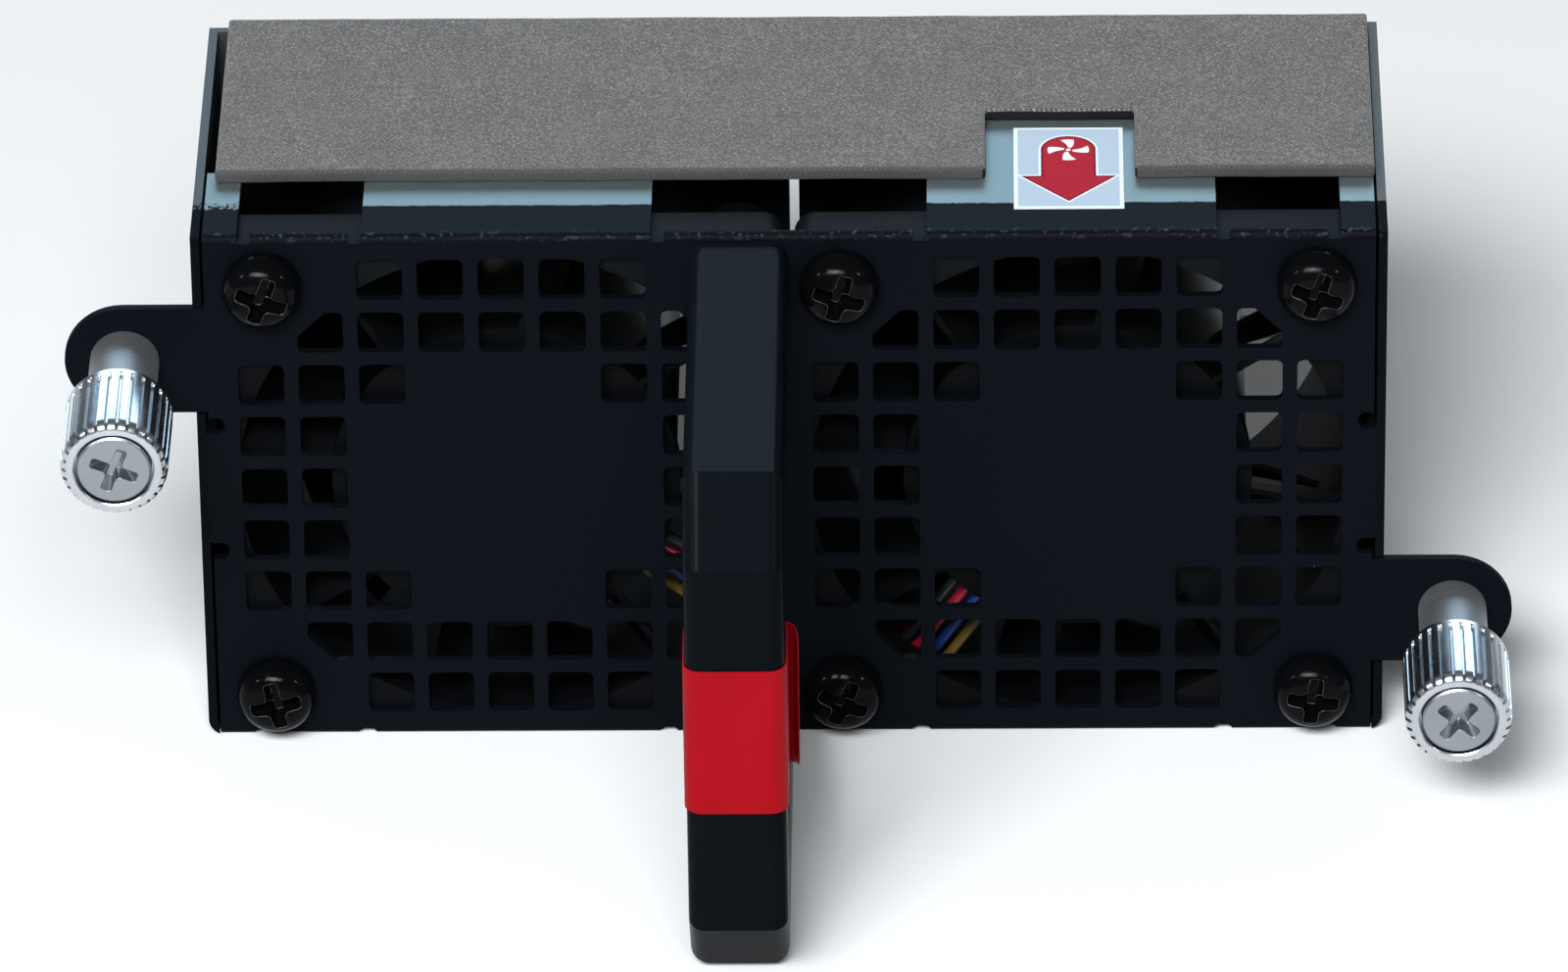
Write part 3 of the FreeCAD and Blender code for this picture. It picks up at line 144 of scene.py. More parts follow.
def add_lamp(name, place, size, power, colour=(0.95, 0.98, 1.0)):
    """An area lamp that looks at the origin."""
    lamp_data = bpy.data.lights.new(name, "AREA")
    lamp_data.shape = "RECTANGLE"
    lamp_data.size, lamp_data.size_y = size
    lamp_data.energy = power
    lamp_data.color = colour
    lamp = bpy.data.objects.new(name, lamp_data)
    bpy.context.scene.collection.objects.link(lamp)
    lamp.location = place
    lamp.rotation_euler = (Vector() - Vector(place)).to_track_quat("-Z", "Y").to_euler()
    return lamp


def aim_past(lamp, *pieces, state="EXCLUDE"):
    """A lamp that leaves out some pieces or, with INCLUDE, lights those pieces alone."""
    chosen = bpy.data.collections.new("chosen_for_" + lamp.name)
    for piece in pieces:
        chosen.objects.link(piece)
    for entry in chosen.collection_objects:
        entry.light_linking.link_state = state
    lamp.light_linking.receiver_collection = chosen


handle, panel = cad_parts["pull_handle"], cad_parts["front_panel"]
aim_past(add_lamp("key_softbox", (-0.25, -0.72, 0.72), (0.5, 0.28), 9.4), handle)
aim_past(add_lamp("fill_softbox", (-0.05, -0.80, 0.70), (0.5, 0.3), 7.9), handle)
aim_past(add_lamp("handle_softbox", (-0.45, -0.70, 0.95), (0.4, 0.3), 28.0), handle, state="INCLUDE")
behind, broad = (0.0, 0.9, 0.55), (1.0, 0.4)
aim_past(add_lamp("rear_softbox", behind, broad, 5.0, (0.58, 0.80, 1.0)), floor)
aim_past(add_lamp("panel_softbox", behind, broad, 8.8, (0.42, 0.73, 0.97)), panel, state="INCLUDE")
impellers = [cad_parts[side + "_impeller"] for side in SIDES]
aim_past(add_lamp("blade_softbox", (-0.3, 0.8, 0.5), (0.5, 0.4), 25.0), *impellers, state="INCLUDE")
for name, beside in (("left_glint", -0.75), ("right_glint", 0.75)):
    aim_past(add_lamp(name, (beside, -0.4, 0.5), (0.045, 0.045), 0.9), floor)
print("floor at", round(floor_height, 4))

# %% [markdown]
# ## Writing finishes as sums
# A finish is a small program of nodes. Plugging each node by hand is long, so one class wraps a socket
# and lets Python's own signs add the maths nodes, and one method makes any other node. Every pattern
# reads Object coordinates: the pieces sit at the origin, so these are real places on the tray, in metres.

# %% Finish helpers
class Wire:
    """A node's output that can be used in sums."""

    def __init__(self, finish, socket):
        self.finish, self.socket = finish, socket

    def maths(self, operation, other=0.0, swapped=False):
        pair = (other, self) if swapped else (self, other)
        return self.finish.node("Math", {"operation": operation}, {0: pair[0], 1: pair[1]})

    def __add__(self, other):
        return self.maths("ADD", other)

    def __sub__(self, other):
        return self.maths("SUBTRACT", other)

    def __rsub__(self, other):
        return self.maths("SUBTRACT", other, True)

    def __mul__(self, other):
        return self.maths("MULTIPLY", other)

    def __truediv__(self, other):
        return self.maths("DIVIDE", other)

    def __lt__(self, other):
        return self.maths("LESS_THAN", other)

    def __gt__(self, other):
        return self.maths("GREATER_THAN", other)

    def __abs__(self):
        return self.maths("ABSOLUTE")

    __radd__, __rmul__ = __add__, __mul__


class Finish:
    """A material, its principled shader and the nodes that feed it."""

    def __init__(self, name, **constants):
        self.material = bpy.data.materials.new(name)
        self.material.use_nodes = True
        self.tree = self.material.node_tree
        self.shader = self.tree.nodes["Principled BSDF"]
        self.place = self.node("TexCoord", output="Object")
        self.set(**constants)

    def plug(self, socket, value):
        if isinstance(value, Wire):
            self.tree.links.new(value.socket, socket)
        elif isinstance(value, tuple) and len(value) == 3 and socket.type == "RGBA":
            socket.default_value = (*value, 1)
        else:
            socket.default_value = value

    def node(self, kind, settings=None, inputs=None, output=0):
        made = self.tree.nodes.new("ShaderNode" + kind)
        for key, value in (settings or {}).items():
            if key == "stops":
                ramp = made.color_ramp.elements
                while len(ramp) < len(value):
                    ramp.new(0.5)
                for stop, (position, colour) in zip(ramp, value):
                    stop.position, stop.color = position, (*colour, 1)
            else:
                setattr(made, key, value)
        for key, value in (inputs or {}).items():
            self.plug(made.inputs[key], value)
        return Wire(self, made.outputs[output])

    def set(self, **values):
        for key, value in values.items():
            self.plug(self.shader.inputs[key.replace("_", " ")], value)

    def split(self):
        apart = self.node("SeparateXYZ", inputs={0: self.place})
        return [Wire(self, socket) for socket in apart.socket.node.outputs]

    def noise(self, scale, detail=2.0, stretch=None):
        vector = self.place
        if stretch:
            vector = self.node("Mapping", inputs={"Vector": self.place, "Scale": stretch})
        return self.node("TexNoise", inputs={"Vector": vector, "Scale": scale, "Detail": detail})

    def specks(self, scale, size):
        spots = self.node("TexVoronoi", inputs={"Vector": self.place, "Scale": scale})
        return spots < size

    def ramp(self, value, low, high):
        return self.node("MapRange", inputs={0: value, 1: low, 2: high, 3: 0.0, 4: 1.0})

    def mix(self, amount, first, second):
        return self.node("Mix", {"data_type": "RGBA"}, {0: amount, 6: first, 7: second}, output=2)

    def bump(self, height, strength, depth):
        relief = self.node("Bump", inputs={"Height": height, "Strength": strength, "Distance": depth})
        self.set(Normal=relief)


def larger(first, second):
    return first.maths("MAXIMUM", second)


def smaller(first, second):
    return first.maths("MINIMUM", second)


def dress(names, finish):
    for name in names:
        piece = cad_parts[name]
        piece.data.materials.clear()
        piece.data.materials.append(finish.material)


white = Finish("white_floor", Roughness=0.8, Specular_IOR_Level=0.05)
white.set(Base_Color=white.mix(white.noise(3.0), (0.91, 0.92, 0.93), (0.93, 0.94, 0.95)))
floor.data.materials.append(white.material)
print("finishes can be written")

# %% [markdown]
# ## Painted and plated sheet
# The panel and the cage are plated steel. Only the front was sprayed black, and the spray fades out a few
# millimetres round the bends, so one finish holds both: black where y is small, bare plating behind a
# ragged line. The paint is fine-grained and very dark, with a few specks of dust, a painted highlight in
# specks along the upper bend and some overspray on the left. The plating is painted lighter on the right
# than on the left, as painted light, and the cage takes darker plating than the panel, as painted shade.

# %% Sheet finish
PAINT_END = 3.5  # how far the black spray reaches behind the panel's rear, in millimetres


def sheet_finish(name, dark, light, shine):
    steel = Finish(name, Specular_IOR_Level=0.033)
    x, y, z = steel.split()
    overspray = (x < -36.9 * MM) * 3.0
    ragged = steel.noise(900, 3.0) * 0.3 - 0.15 + (steel.noise(5000, 2.0) - 0.5) * (overspray + 0.2)
    bare = steel.ramp(y * TO_MM - PAINT_END + ragged, -0.08, 0.08)
    cloud = steel.noise(260, 3.0)
    # painted light: the plating is mixed lighter on the right side (x > 0) and darker on the left, for how
    # light falls
    plating_and_side_light = steel.mix(cloud * 0.4 + (x > 0) * 0.6, dark, light)
    dust = steel.specks(230, 0.012) * steel.ramp(steel.noise(150, 1.0), 0.56, 0.6)
    # painted highlight: lighter specks along the upper front bend stand in for the bend's edge highlight
    highlit_upper_bend = steel.ramp(z * TO_MM, 19.2, 19.6) * steel.ramp(y * TO_MM, 0.3, -0.1)
    painted_bend_highlight = highlit_upper_bend * steel.ramp(steel.noise(2600), 0.56, 0.7)
    grain = steel.noise(6000, 2.0)
    paint = steel.mix(larger(dust * 0.4, painted_bend_highlight * 0.12), (0.0014, 0.0021, 0.0036), (0.20, 0.22, 0.23))
    steel.set(Base_Color=steel.mix(bare, paint, plating_and_side_light))
    steel.set(Metallic=bare * shine)
    steel.set(Roughness=0.50 + grain * 0.12 - bare * 0.12 + cloud * 0.06)
    steel.bump(grain * (1 - bare * 0.7), 0.25, 0.04 * MM)
    return steel


dress(["front_panel"], sheet_finish("sprayed_panel", (0.136, 0.167, 0.170), (0.157, 0.191, 0.194), 0.75))
# the cage's plating tones are a darker copy of the panel's, as painted shade on its walls
dress(["cage"], sheet_finish("sprayed_cage", (0.072, 0.084, 0.089), (0.096, 0.092, 0.087), 0.6))
print("sheet finish on the panel and the cage")

# %% [markdown]
# ## Handle, fans and motor
# The handle is a smooth satin black. The fans are moulded in black plastic with a finer, duller skin, and
# the motor inside has steel, copper, ferrite and a green board. None of them is one flat colour: noise
# shifts the tone and the gloss a little, as handling and moulding do. The fan frames are also painted
# lighter on their tops, towards the back and on the rear face, as painted light.

# %% Moulded and metal finishes
def satin(name, dark, light, rough, grain_scale=2500, relief=0.15, **constants):
    finish = Finish(name, **constants)
    cloud = finish.noise(180, 3.0)
    grain = finish.noise(grain_scale, 2.0)
    finish.set(Base_Color=finish.mix(cloud, dark, light))
    finish.set(Roughness=rough - 0.06 + cloud * 0.12)
    finish.bump(grain, relief, 0.03 * MM)
    return finish


handle_black = satin("handle_black", (0.0026, 0.0037, 0.0052), (0.0036, 0.0050, 0.0068), 0.24,
                     Specular_IOR_Level=0.0105)
dress(["pull_handle"], handle_black)
darker_black, lighter_black = (0.0020, 0.0024, 0.0030), (0.0050, 0.0062, 0.0078)
frame_black = satin("fan_frame_black", darker_black, lighter_black, 0.5, Specular_IOR_Level=0.04)
_, y, z = frame_black.split()
# painted light: the frame is mixed lighter at its tops and towards the back, for how the light falls
painted_top_light = larger(frame_black.ramp(z * TO_MM, 13.0, 18.8), frame_black.ramp(y * TO_MM, 15.0, 24.0) * 0.8)
painted_top_light = painted_top_light * (0.6 + frame_black.noise(400, 3.0) * 0.6)
moulded = frame_black.mix(painted_top_light, darker_black, lighter_black)
# painted light: the rear face is made lighter still, so the frames show from behind
painted_rear_light = frame_black.ramp(y * TO_MM, 24.0, 27.5)
frame_black.set(Base_Color=frame_black.mix(painted_rear_light, moulded, (0.014, 0.0155, 0.017)))
dress(["left_fan_frame", "right_fan_frame"], frame_black)
blade_black = satin("blade_black", (0.0014, 0.0017, 0.0022), (0.0026, 0.003, 0.0037), 0.22,
                    Specular_IOR_Level=0.04)
dress(["left_impeller", "right_impeller"], blade_black)


def metal(name, dark, light, rough, scale=700, stretch=(1, 1, 1), relief=0.1):
    finish = Finish(name, Metallic=1.0)
    streak = finish.noise(scale, 4.0, stretch)
    finish.set(Base_Color=finish.mix(streak, dark, light))
    finish.set(Roughness=rough - 0.06 + streak * 0.12)
    finish.bump(streak, relief, 0.02 * MM)
    return finish


LATHE_LINES = (0.15, 5, 0.15)
core_steel = metal("core_steel", (0.20, 0.20, 0.21), (0.32, 0.32, 0.33), 0.5, 900, (0.2, 8, 0.2), 0.3)
copper = metal("copper_wire", (0.42, 0.16, 0.07), (0.62, 0.28, 0.14), 0.35, 1500, (1, 1, 6), 0.4)
bright_steel = metal("bright_steel", (0.50, 0.50, 0.52), (0.66, 0.66, 0.67), 0.25)
turned_steel = metal("turned_steel", (0.26, 0.28, 0.30), (0.40, 0.42, 0.44), 0.34, 1200, LATHE_LINES, 0.25)
sleeve_steel = metal("sleeve_steel", (0.34, 0.352, 0.366), (0.46, 0.472, 0.486), 0.55, 1200, LATHE_LINES,
                     0.25)
brass = metal("contact_brass", (0.62, 0.45, 0.18), (0.78, 0.60, 0.28), 0.25)
ferrite = satin("ferrite", (0.012, 0.012, 0.013), (0.022, 0.022, 0.023), 0.6)
board_green = satin("board_green", (0.01, 0.09, 0.035), (0.02, 0.14, 0.05), 0.35, 900)
plug_black = satin("plug_black", (0.010, 0.010, 0.011), (0.017, 0.017, 0.018), 0.45)

for side in SIDES:
    dress([side + "_stator_core", side + "_rotor_yoke"], core_steel)
    dress([side + "_stator_coils"], copper)
    dress([side + "_bearing_outer", side + "_bearing_inner", side + "_shaft"], bright_steel)
    dress([side + "_rotor_magnet"], ferrite)
    dress([side + "_motor_board"], board_green)
    dress([side + "_screw_sleeve"], sleeve_steel)
dress(["connector_housing"], plug_black)
dress(["connector_pins"], brass)

# the leads' colours are darkened, the yellow most, as painted shade for the dim inside of the fans
SHADED_LEAD_COLOURS = {
    "red": ((0.20, 0.004, 0.016), (0.26, 0.006, 0.022)),
    "blue": ((0.004, 0.020, 0.11), (0.006, 0.030, 0.16)),
    "black": ((0.006, 0.006, 0.007), (0.012, 0.012, 0.013)),
    "yellow": ((0.07, 0.045, 0.006), (0.10, 0.065, 0.010)),
}
for colour, (dark, light) in SHADED_LEAD_COLOURS.items():
    insulation = satin("lead_" + colour, dark, light, 0.3, 1200)
    dress([side + "_lead_" + colour for side in SIDES], insulation)
black_screw = satin("blackened_screw", (0.0012, 0.0014, 0.0017), (0.0024, 0.0027, 0.0032), 0.14, 1500, 0.1,
                    Specular_IOR_Level=0.05)
dress(["handle_screws"], black_screw)
worn_edge = metal("worn_screw_edge", (0.06, 0.063, 0.066), (0.60, 0.61, 0.62), 0.42, 1600)
print("finished", len(bpy.data.materials), "materials so far")

# %% [markdown]
# ## The airflow label
# A small film label with a red arrow that points the way the air leaves. It could be cut from meshes, but
# it is print, so it is drawn by the finish: the arrow is a triangle, a bar and a round end, joined by
# taking the larger mask. The same shape, drawn a little larger and a little smaller, gives its pale and
# dark outlines, and a four-bladed wheel is left white in the round end.

# %% Label finish
label_low, label_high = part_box("airflow_label")
label = Finish("airflow_label", Roughness=0.55, Specular_IOR_Level=0.02)
x, y, _ = label.split()
across = (x - (label_low.x + label_high.x) / 2) * TO_MM
along = (y - (label_low.y + label_high.y) / 2) * TO_MM
WHEEL_AT, ARROW_TIP, ARROW_HALF = 2.4, 4.5, 1.85
wheel_along = along - WHEEL_AT
reach = (across * across + wheel_along * wheel_along).maths("SQRT")


def arrow_shape(grown):
    """The arrow's mask, with its outline moved out by so many millimetres."""
    tip = ARROW_TIP + grown * 1.4
    head = smaller(abs(across) < (along + tip) * 0.95, along < grown - 1.1)
    bar = smaller(abs(across) < ARROW_HALF + grown, smaller(along > -1.2, along < WHEEL_AT))
    return larger(smaller(head, along > -tip), larger(bar, reach < ARROW_HALF + grown))


turn = across.maths("ARCTAN2", wheel_along) * 4 + reach * 1.3
wheel = smaller(turn.maths("SINE") > 0.25, smaller(reach < 1.4, reach > 0.3))
wheel = larger(wheel, reach < 0.16)
edge = larger(abs(across) > 3.42, abs(along) > 5.15)
film = label.mix(larger(edge, arrow_shape(0.16)), (0.40, 0.482, 0.572), (0.68, 0.75, 0.82))
ink = label.mix(label.noise(2500), (0.335, 0.0145, 0.028), (0.38, 0.019, 0.036))
drawn = label.mix(arrow_shape(0.0), film, (0.16, 0.006, 0.014))
drawn = label.mix(arrow_shape(-0.13), drawn, ink)
label.set(Base_Color=label.mix(wheel, drawn, (0.78, 0.80, 0.82)))
dress(["airflow_label"], label)
print("label drawn on", [round((label_high - label_low)[k] * TO_MM, 2) for k in range(3)], "mm")

# %% [markdown]
# ## Modelling by turning
# Screws and knobs are turned parts. A lathe in Blender is a circle whose edge is extruded and scaled from
# station to station along the axis, each station being a radius and a depth. The stations come from the
# CAD sizes.

# %% Turning helpers
def place_edit(piece):
    """Opens a piece in edit mode with nothing selected."""
    deselect_all()
    piece.select_set(True)
    bpy.context.view_layer.objects.active = piece
    bpy.ops.object.mode_set(mode="EDIT")
    bpy.ops.mesh.select_all(action="DESELECT")


def select_where(piece, wanted):
    """Selects the vertices whose place passes a test, and what they join."""
    net = bmesh.from_edit_mesh(piece.data)
    for vertex in net.verts:
        vertex.select_set(wanted(vertex.co))
    net.select_flush(True)
    bmesh.update_edit_mesh(piece.data)


def close_enough(value, target):
    return abs(value - target) < 0.002 * MM


def apply_modifier(piece, kind, **settings):
    deselect_all()
    piece.select_set(True)
    bpy.context.view_layer.objects.active = piece
    step = piece.modifiers.new(kind.lower(), kind)
    for key, value in settings.items():
        setattr(step, key, value)
    bpy.ops.object.modifier_apply(modifier=step.name)


def turned(name, stations, axis, vertices=96, closed=False):
    """Turns a profile of (radius, depth), in millimetres, about the Y direction through axis, in metres."""
    deselect_all()
    radius, depth = stations[0]
    centre = Vector((axis[0], depth * MM, axis[1]))
    bpy.ops.mesh.primitive_circle_add(
        vertices=vertices, radius=radius * MM, location=centre, rotation=(math.pi / 2, 0, 0)
    )
    piece = bpy.context.object
    piece.name = name
    bpy.ops.object.transform_apply(location=True, rotation=True, scale=True)
    bpy.ops.object.mode_set(mode="EDIT")
    bpy.ops.mesh.select_all(action="SELECT")
    for next_radius, next_depth in stations[1:]:
        step = (0, (next_depth - depth) * MM, 0)
        bpy.ops.mesh.extrude_region_move(TRANSFORM_OT_translate={"value": step})
        grow = next_radius / radius
        middle = (axis[0], next_depth * MM, axis[1])
        bpy.ops.transform.resize(value=(grow, 1, grow), center_override=middle)
        radius, depth = next_radius, next_depth
    if closed:
        first = stations[0][1] * MM, stations[0][0] * MM
        last = stations[-1][1] * MM, stations[-1][0] * MM

        def on_an_end(place):
            reach = math.hypot(place.x - axis[0], place.z - axis[1])
            ends = (first, last)
            return any(close_enough(place.y, end) and close_enough(reach, size) for end, size in ends)

        select_where(piece, on_an_end)
        bpy.ops.mesh.bridge_edge_loops()
    else:
        bpy.ops.mesh.edge_face_add()
        select_where(piece, lambda place: close_enough(place.y, stations[0][1] * MM)
                     and close_enough(math.hypot(place.x - axis[0], place.z - axis[1]), stations[0][0] * MM))
        bpy.ops.mesh.edge_face_add()
    bpy.ops.mesh.select_all(action="SELECT")
    bpy.ops.mesh.normals_make_consistent(inside=False)
    bpy.ops.object.mode_set(mode="OBJECT")
    bpy.ops.object.shade_smooth_by_angle(angle=math.radians(32))
    return piece


def finish_piece(piece, finish, body, slot, *nodes):
    if not piece.data.materials:
        piece.data.materials.append(finish.material)
    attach(piece, body)
    if nodes:
        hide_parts(*nodes)
    print(piece.name, len(piece.data.polygons), "faces")


OVERCUT = 0.25 * MM  # how far the driver's point stands out of the face that it cuts


def driver_point(axis, front, depth, reach, half_wing, flare):
    """The point of a cross driver: a plus drawn out of a small block, its wings flared, its corners rounded
    and its tip narrower."""
    deselect_all()
    centre = (axis[0], (front + depth / 2) * MM, axis[1])
    bpy.ops.mesh.primitive_cube_add(size=2 * half_wing * MM, location=centre)
    point = bpy.context.object
    bpy.ops.object.mode_set(mode="EDIT")
    net = bmesh.from_edit_mesh(point.data)
    for vertex in net.verts:
        vertex.co.y = math.copysign((depth / 2) * MM, vertex.co.y) - (OVERCUT if vertex.co.y < 0 else 0)
    bmesh.update_edit_mesh(point.data)
    bpy.ops.mesh.select_mode(type="FACE")
    for way in (Vector((1, 0, 0)), Vector((-1, 0, 0)), Vector((0, 0, 1)), Vector((0, 0, -1))):
        net = bmesh.from_edit_mesh(point.data)
        for face in net.faces:
            middle = face.calc_center_median()
            in_line = abs(middle.x * way.z - middle.z * way.x) < 0.05 * MM
            face.select_set(face.normal.dot(way) > 0.9 and in_line)
        bmesh.update_edit_mesh(point.data)
        draw = way * (reach - half_wing) * MM
        bpy.ops.mesh.extrude_region_move(TRANSFORM_OT_translate={"value": draw})
        wider = (flare if way.z else 1, 1, flare if way.x else 1)
        bpy.ops.transform.resize(value=wider, center_override=(axis[0], front * MM, axis[1]))
    for inner, rounding in ((True, 0.85), (False, 0.6)):
        bpy.ops.mesh.select_mode(type="EDGE")
        net = bmesh.from_edit_mesh(point.data)
        for edge in net.edges:
            first, second = (vertex.co for vertex in edge.verts)
            lengthwise = abs(first.y - second.y) > 0.9 * depth * MM
            corner_of_block = max(abs(first.x), abs(first.z)) < (half_wing + 0.01) * MM
            at_a_tip = max(abs(first.x), abs(first.z)) > (reach - 0.01) * MM
            edge.select_set(lengthwise and (corner_of_block if inner else at_a_tip))
        bmesh.update_edit_mesh(point.data)
        bpy.ops.mesh.bevel(offset=half_wing * rounding * MM, segments=4, affect="EDGES")
    bpy.ops.mesh.select_mode(type="VERT")
    select_where(point, lambda place: place.y > 0)
    bottom = (axis[0], (front + depth) * MM, axis[1])
    bpy.ops.transform.resize(value=(0.5, 1, 0.5), center_override=bottom)
    bpy.ops.mesh.select_all(action="SELECT")
    bpy.ops.mesh.normals_make_consistent(inside=False)
    bpy.ops.object.mode_set(mode="OBJECT")
    bpy.ops.object.transform_apply(location=True, rotation=True, scale=True)
    return point


def cut_away(piece, cutter, *finishes):
    """Cuts a tool out of a piece, removes the tool and dulls the sharp edges, which take the last finish."""
    for finish in finishes:
        piece.data.materials.append(finish.material)
    apply_modifier(piece, "BOOLEAN", operation="DIFFERENCE", solver="EXACT", object=cutter)
    bpy.data.objects.remove(cutter)
    bpy.ops.object.shade_smooth_by_angle(angle=math.radians(38))
    apply_modifier(piece, "BEVEL", width=0.15 * MM, segments=2, limit_method="ANGLE",
                   angle_limit=math.radians(40), harden_normals=True, material=len(finishes) - 1)


def turn_about(piece, axis, degrees):
    """Turns a piece's mesh about the Y direction through axis."""
    centre = Matrix.Translation(Vector((axis[0], 0, axis[1])))
    piece.data.transform(centre @ Matrix.Rotation(math.radians(degrees), 4, "Y") @ centre.inverted())


def copy_to(piece, name, shift):
    """A copy with its own mesh, moved by shift."""
    double = piece.copy()
    double.data = piece.data.copy()
    double.name = name
    bpy.context.scene.collection.objects.link(double)
    double.data.transform(Matrix.Translation(shift))
    return double


# %% [markdown]
# ## The pan-head screws
# Six blackened screws hold the fans. The heads are wide and domed, with a deep cross. One screw is
# turned, its cross is cut by a driver-shaped tool, and copies go to the other corners; then all become
# one piece, as in the CAD model.

# %% Pan-head screws
HOLE, FAN_X, DOME = 16.0, 19.35, 2.5
SCREW_TURNS = {
    (-FAN_X - HOLE, HOLE): 20, (-FAN_X - HOLE, -HOLE): -12, (FAN_X - HOLE, HOLE): 17,
    (FAN_X - HOLE, -HOLE): 24, (FAN_X + HOLE, -HOLE): 8, (FAN_X + HOLE, HOLE): 19,
}
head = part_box("fan_screws")[0].y / MM
rise = (PANEL_FRONT - head) / DOME
corner = ((FAN_X + HOLE) * MM, HOLE * MM)
dome = [
    (2.55, 0.0), (2.66, 0.14), (2.69, 0.5), (2.68, 0.9), (2.62, 1.25), (2.48, 1.6), (2.25, 1.93),
    (1.92, 2.19), (1.5, 2.38), (1.0, 2.48), (0.5, DOME),
]
pan_profile = [(1.05, 3.0), (1.45, 2.6), (1.45, PANEL_FRONT)]
pan_profile += [(radius, PANEL_FRONT - high * rise) for radius, high in dome]
first_screw = turned("panel_screws", pan_profile, corner, 96)
cut_away(first_screw, driver_point(corner, head, 1.6, 2.05, 0.52, 1.1), black_screw, worn_edge)
copies = []
for (x, z), turn in SCREW_TURNS.items():
    screw = copy_to(first_screw, "panel_screw_copy", Vector((x * MM - corner[0], 0, z * MM - corner[1])))
    turn_about(screw, (x * MM, z * MM), turn)
    copies.append(screw)
bpy.data.objects.remove(first_screw)
deselect_all()
for screw in copies:
    screw.select_set(True)
panel_screws = copies[0]
bpy.context.view_layer.objects.active = panel_screws
bpy.ops.object.join()
panel_screws.name = "panel_screws"
finish_piece(panel_screws, black_screw, "tray", "black_screw", "fan_screws")

# %% [markdown]
# ## The thumbscrews
# A chrome knob with straight ribs, and in its face the grey head of the screw that it is pressed on. The
# knob is turned with eight vertices for each rib; then two of the eight are pulled towards the axis as a
# groove, which also scallops the bevel at the front as on the real knob.

# %% Knobs and captive screws
RIBS, STEPS, KNOB_FACE = 30, 8, -14.8
GROOVE_FRONT, GROOVE_REAR, GROOVE_INNER = -14.6 * MM, -8.0 * MM, 3.15 * MM
EARS = {"left": (-44.8 * MM, 10.1 * MM, 22), "right": (44.8 * MM, -10.1 * MM, 40)}
chrome = Finish("chrome_knob", Metallic=1.0)
swirl = chrome.noise(500, 3.0)
chrome.set(Base_Color=chrome.mix(swirl, (0.49, 0.515, 0.54), (0.63, 0.65, 0.67)))
chrome.set(Roughness=0.2 + swirl * 0.12)
chrome.bump(chrome.noise(3000, 2.0), 0.08, 0.02 * MM)

knob_profile = [
    (3.5, -7.5), (3.6, -7.62), (3.6, -7.95), (3.6, -8.05), (3.6, -14.0), (3.56, -14.3), (3.42, -14.55),
    (3.2, -14.74), (3.05, KNOB_FACE), (2.75, KNOB_FACE), (2.66, -14.72), (2.65, -13.5), (2.0, -13.5),
    (2.0, -12.9), (2.95, -12.9), (2.95, -8.0), (2.445, -8.0), (2.445, -7.5),
]
screw_profile = [
    (0.9, KNOB_FACE), (2.35, KNOB_FACE), (2.5, -14.66), (2.5, -13.5), (2.0, -13.5), (2.0, -12.9),
    (1.2, -12.9), (1.2, 0.0), (1.5, 0.0), (1.5, 3.6), (1.1, 4.0),
]
for side, (ear_x, ear_z, cross) in EARS.items():
    axis = (ear_x, ear_z)
    knob = turned(side + "_knurled_knob", knob_profile, axis, RIBS * STEPS, closed=True)

    def in_a_groove(place):
        reach = math.hypot(place.x - ear_x, place.z - ear_z)
        if reach < GROOVE_INNER or place.y > GROOVE_REAR or place.y < GROOVE_FRONT:
            return False
        step = math.atan2(place.z - ear_z, place.x - ear_x) / (2 * math.pi / (RIBS * STEPS))
        return round(step) % STEPS in (0, 1)

    place_edit(knob)
    select_where(knob, in_a_groove)
    bpy.ops.transform.resize(value=(0.92, 1, 0.92), center_override=(ear_x, 0, ear_z))
    bpy.ops.object.mode_set(mode="OBJECT")
    bpy.ops.object.shade_smooth_by_angle(angle=math.radians(25))
    finish_piece(knob, chrome, side + "_thumbscrew", "knob_chrome", side + "_thumb_knob")

    screw = turned(side + "_captive_thumbscrew", screw_profile, axis, 72)
    cut_away(screw, driver_point(axis, KNOB_FACE, 1.0, 1.85, 0.42, 1.05), turned_steel)
    turn_about(screw, axis, cross)
    finish_piece(screw, turned_steel, side + "_thumbscrew", "turned_steel", side + "_captive_screw")

# %% [markdown]
# ## The return springs
# A coil in each sleeve pushes the thumbscrew out. A rigid coil would go through the sleeve's floor when
# the screw is pushed in, so the coil is a piece of its own, on the screw's slider. It could be a curve
# with a bevel, but it is a mesh: a ring as thick as the wire is drawn round the axis by the screw
# modifier and its ends are closed.

# %% Return springs
COIL_RADIUS, WIRE_RADIUS, COIL_PITCH, PUSH = 1.58 * MM, 0.2 * MM, 1.25 * MM, 4.0 * MM
STEPS_PER_TURN = 28
low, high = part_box("left_screw_spring")
spring_length = high.y - low.y
climb = spring_length - 2 * WIRE_RADIUS
steps = round(climb / COIL_PITCH * STEPS_PER_TURN)
deselect_all()
coil_start = (COIL_RADIUS, low.y + WIRE_RADIUS, 0)
bpy.ops.mesh.primitive_circle_add(vertices=14, radius=WIRE_RADIUS, location=coil_start)
first_spring = bpy.context.object
bpy.ops.object.transform_apply(location=True, rotation=True, scale=True)
apply_modifier(first_spring, "SCREW", axis="Y", angle=2 * math.pi * climb / COIL_PITCH, screw_offset=climb,
               steps=steps, render_steps=steps)
place_edit(first_spring)
bpy.ops.mesh.select_all(action="SELECT")
bpy.ops.mesh.fill_holes(sides=0)
bpy.ops.mesh.normals_make_consistent(inside=False)
bpy.ops.object.mode_set(mode="OBJECT")
bpy.ops.object.shade_smooth_by_angle(angle=math.radians(50))
for side, (ear_x, ear_z, _) in EARS.items():
    spring = copy_to(first_spring, side + "_return_spring", Vector((ear_x, 0, ear_z)))
    finish_piece(spring, bright_steel, side + "_screw_slider", "spring_steel", side + "_screw_spring")
    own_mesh(spring)
bpy.data.objects.remove(first_spring)
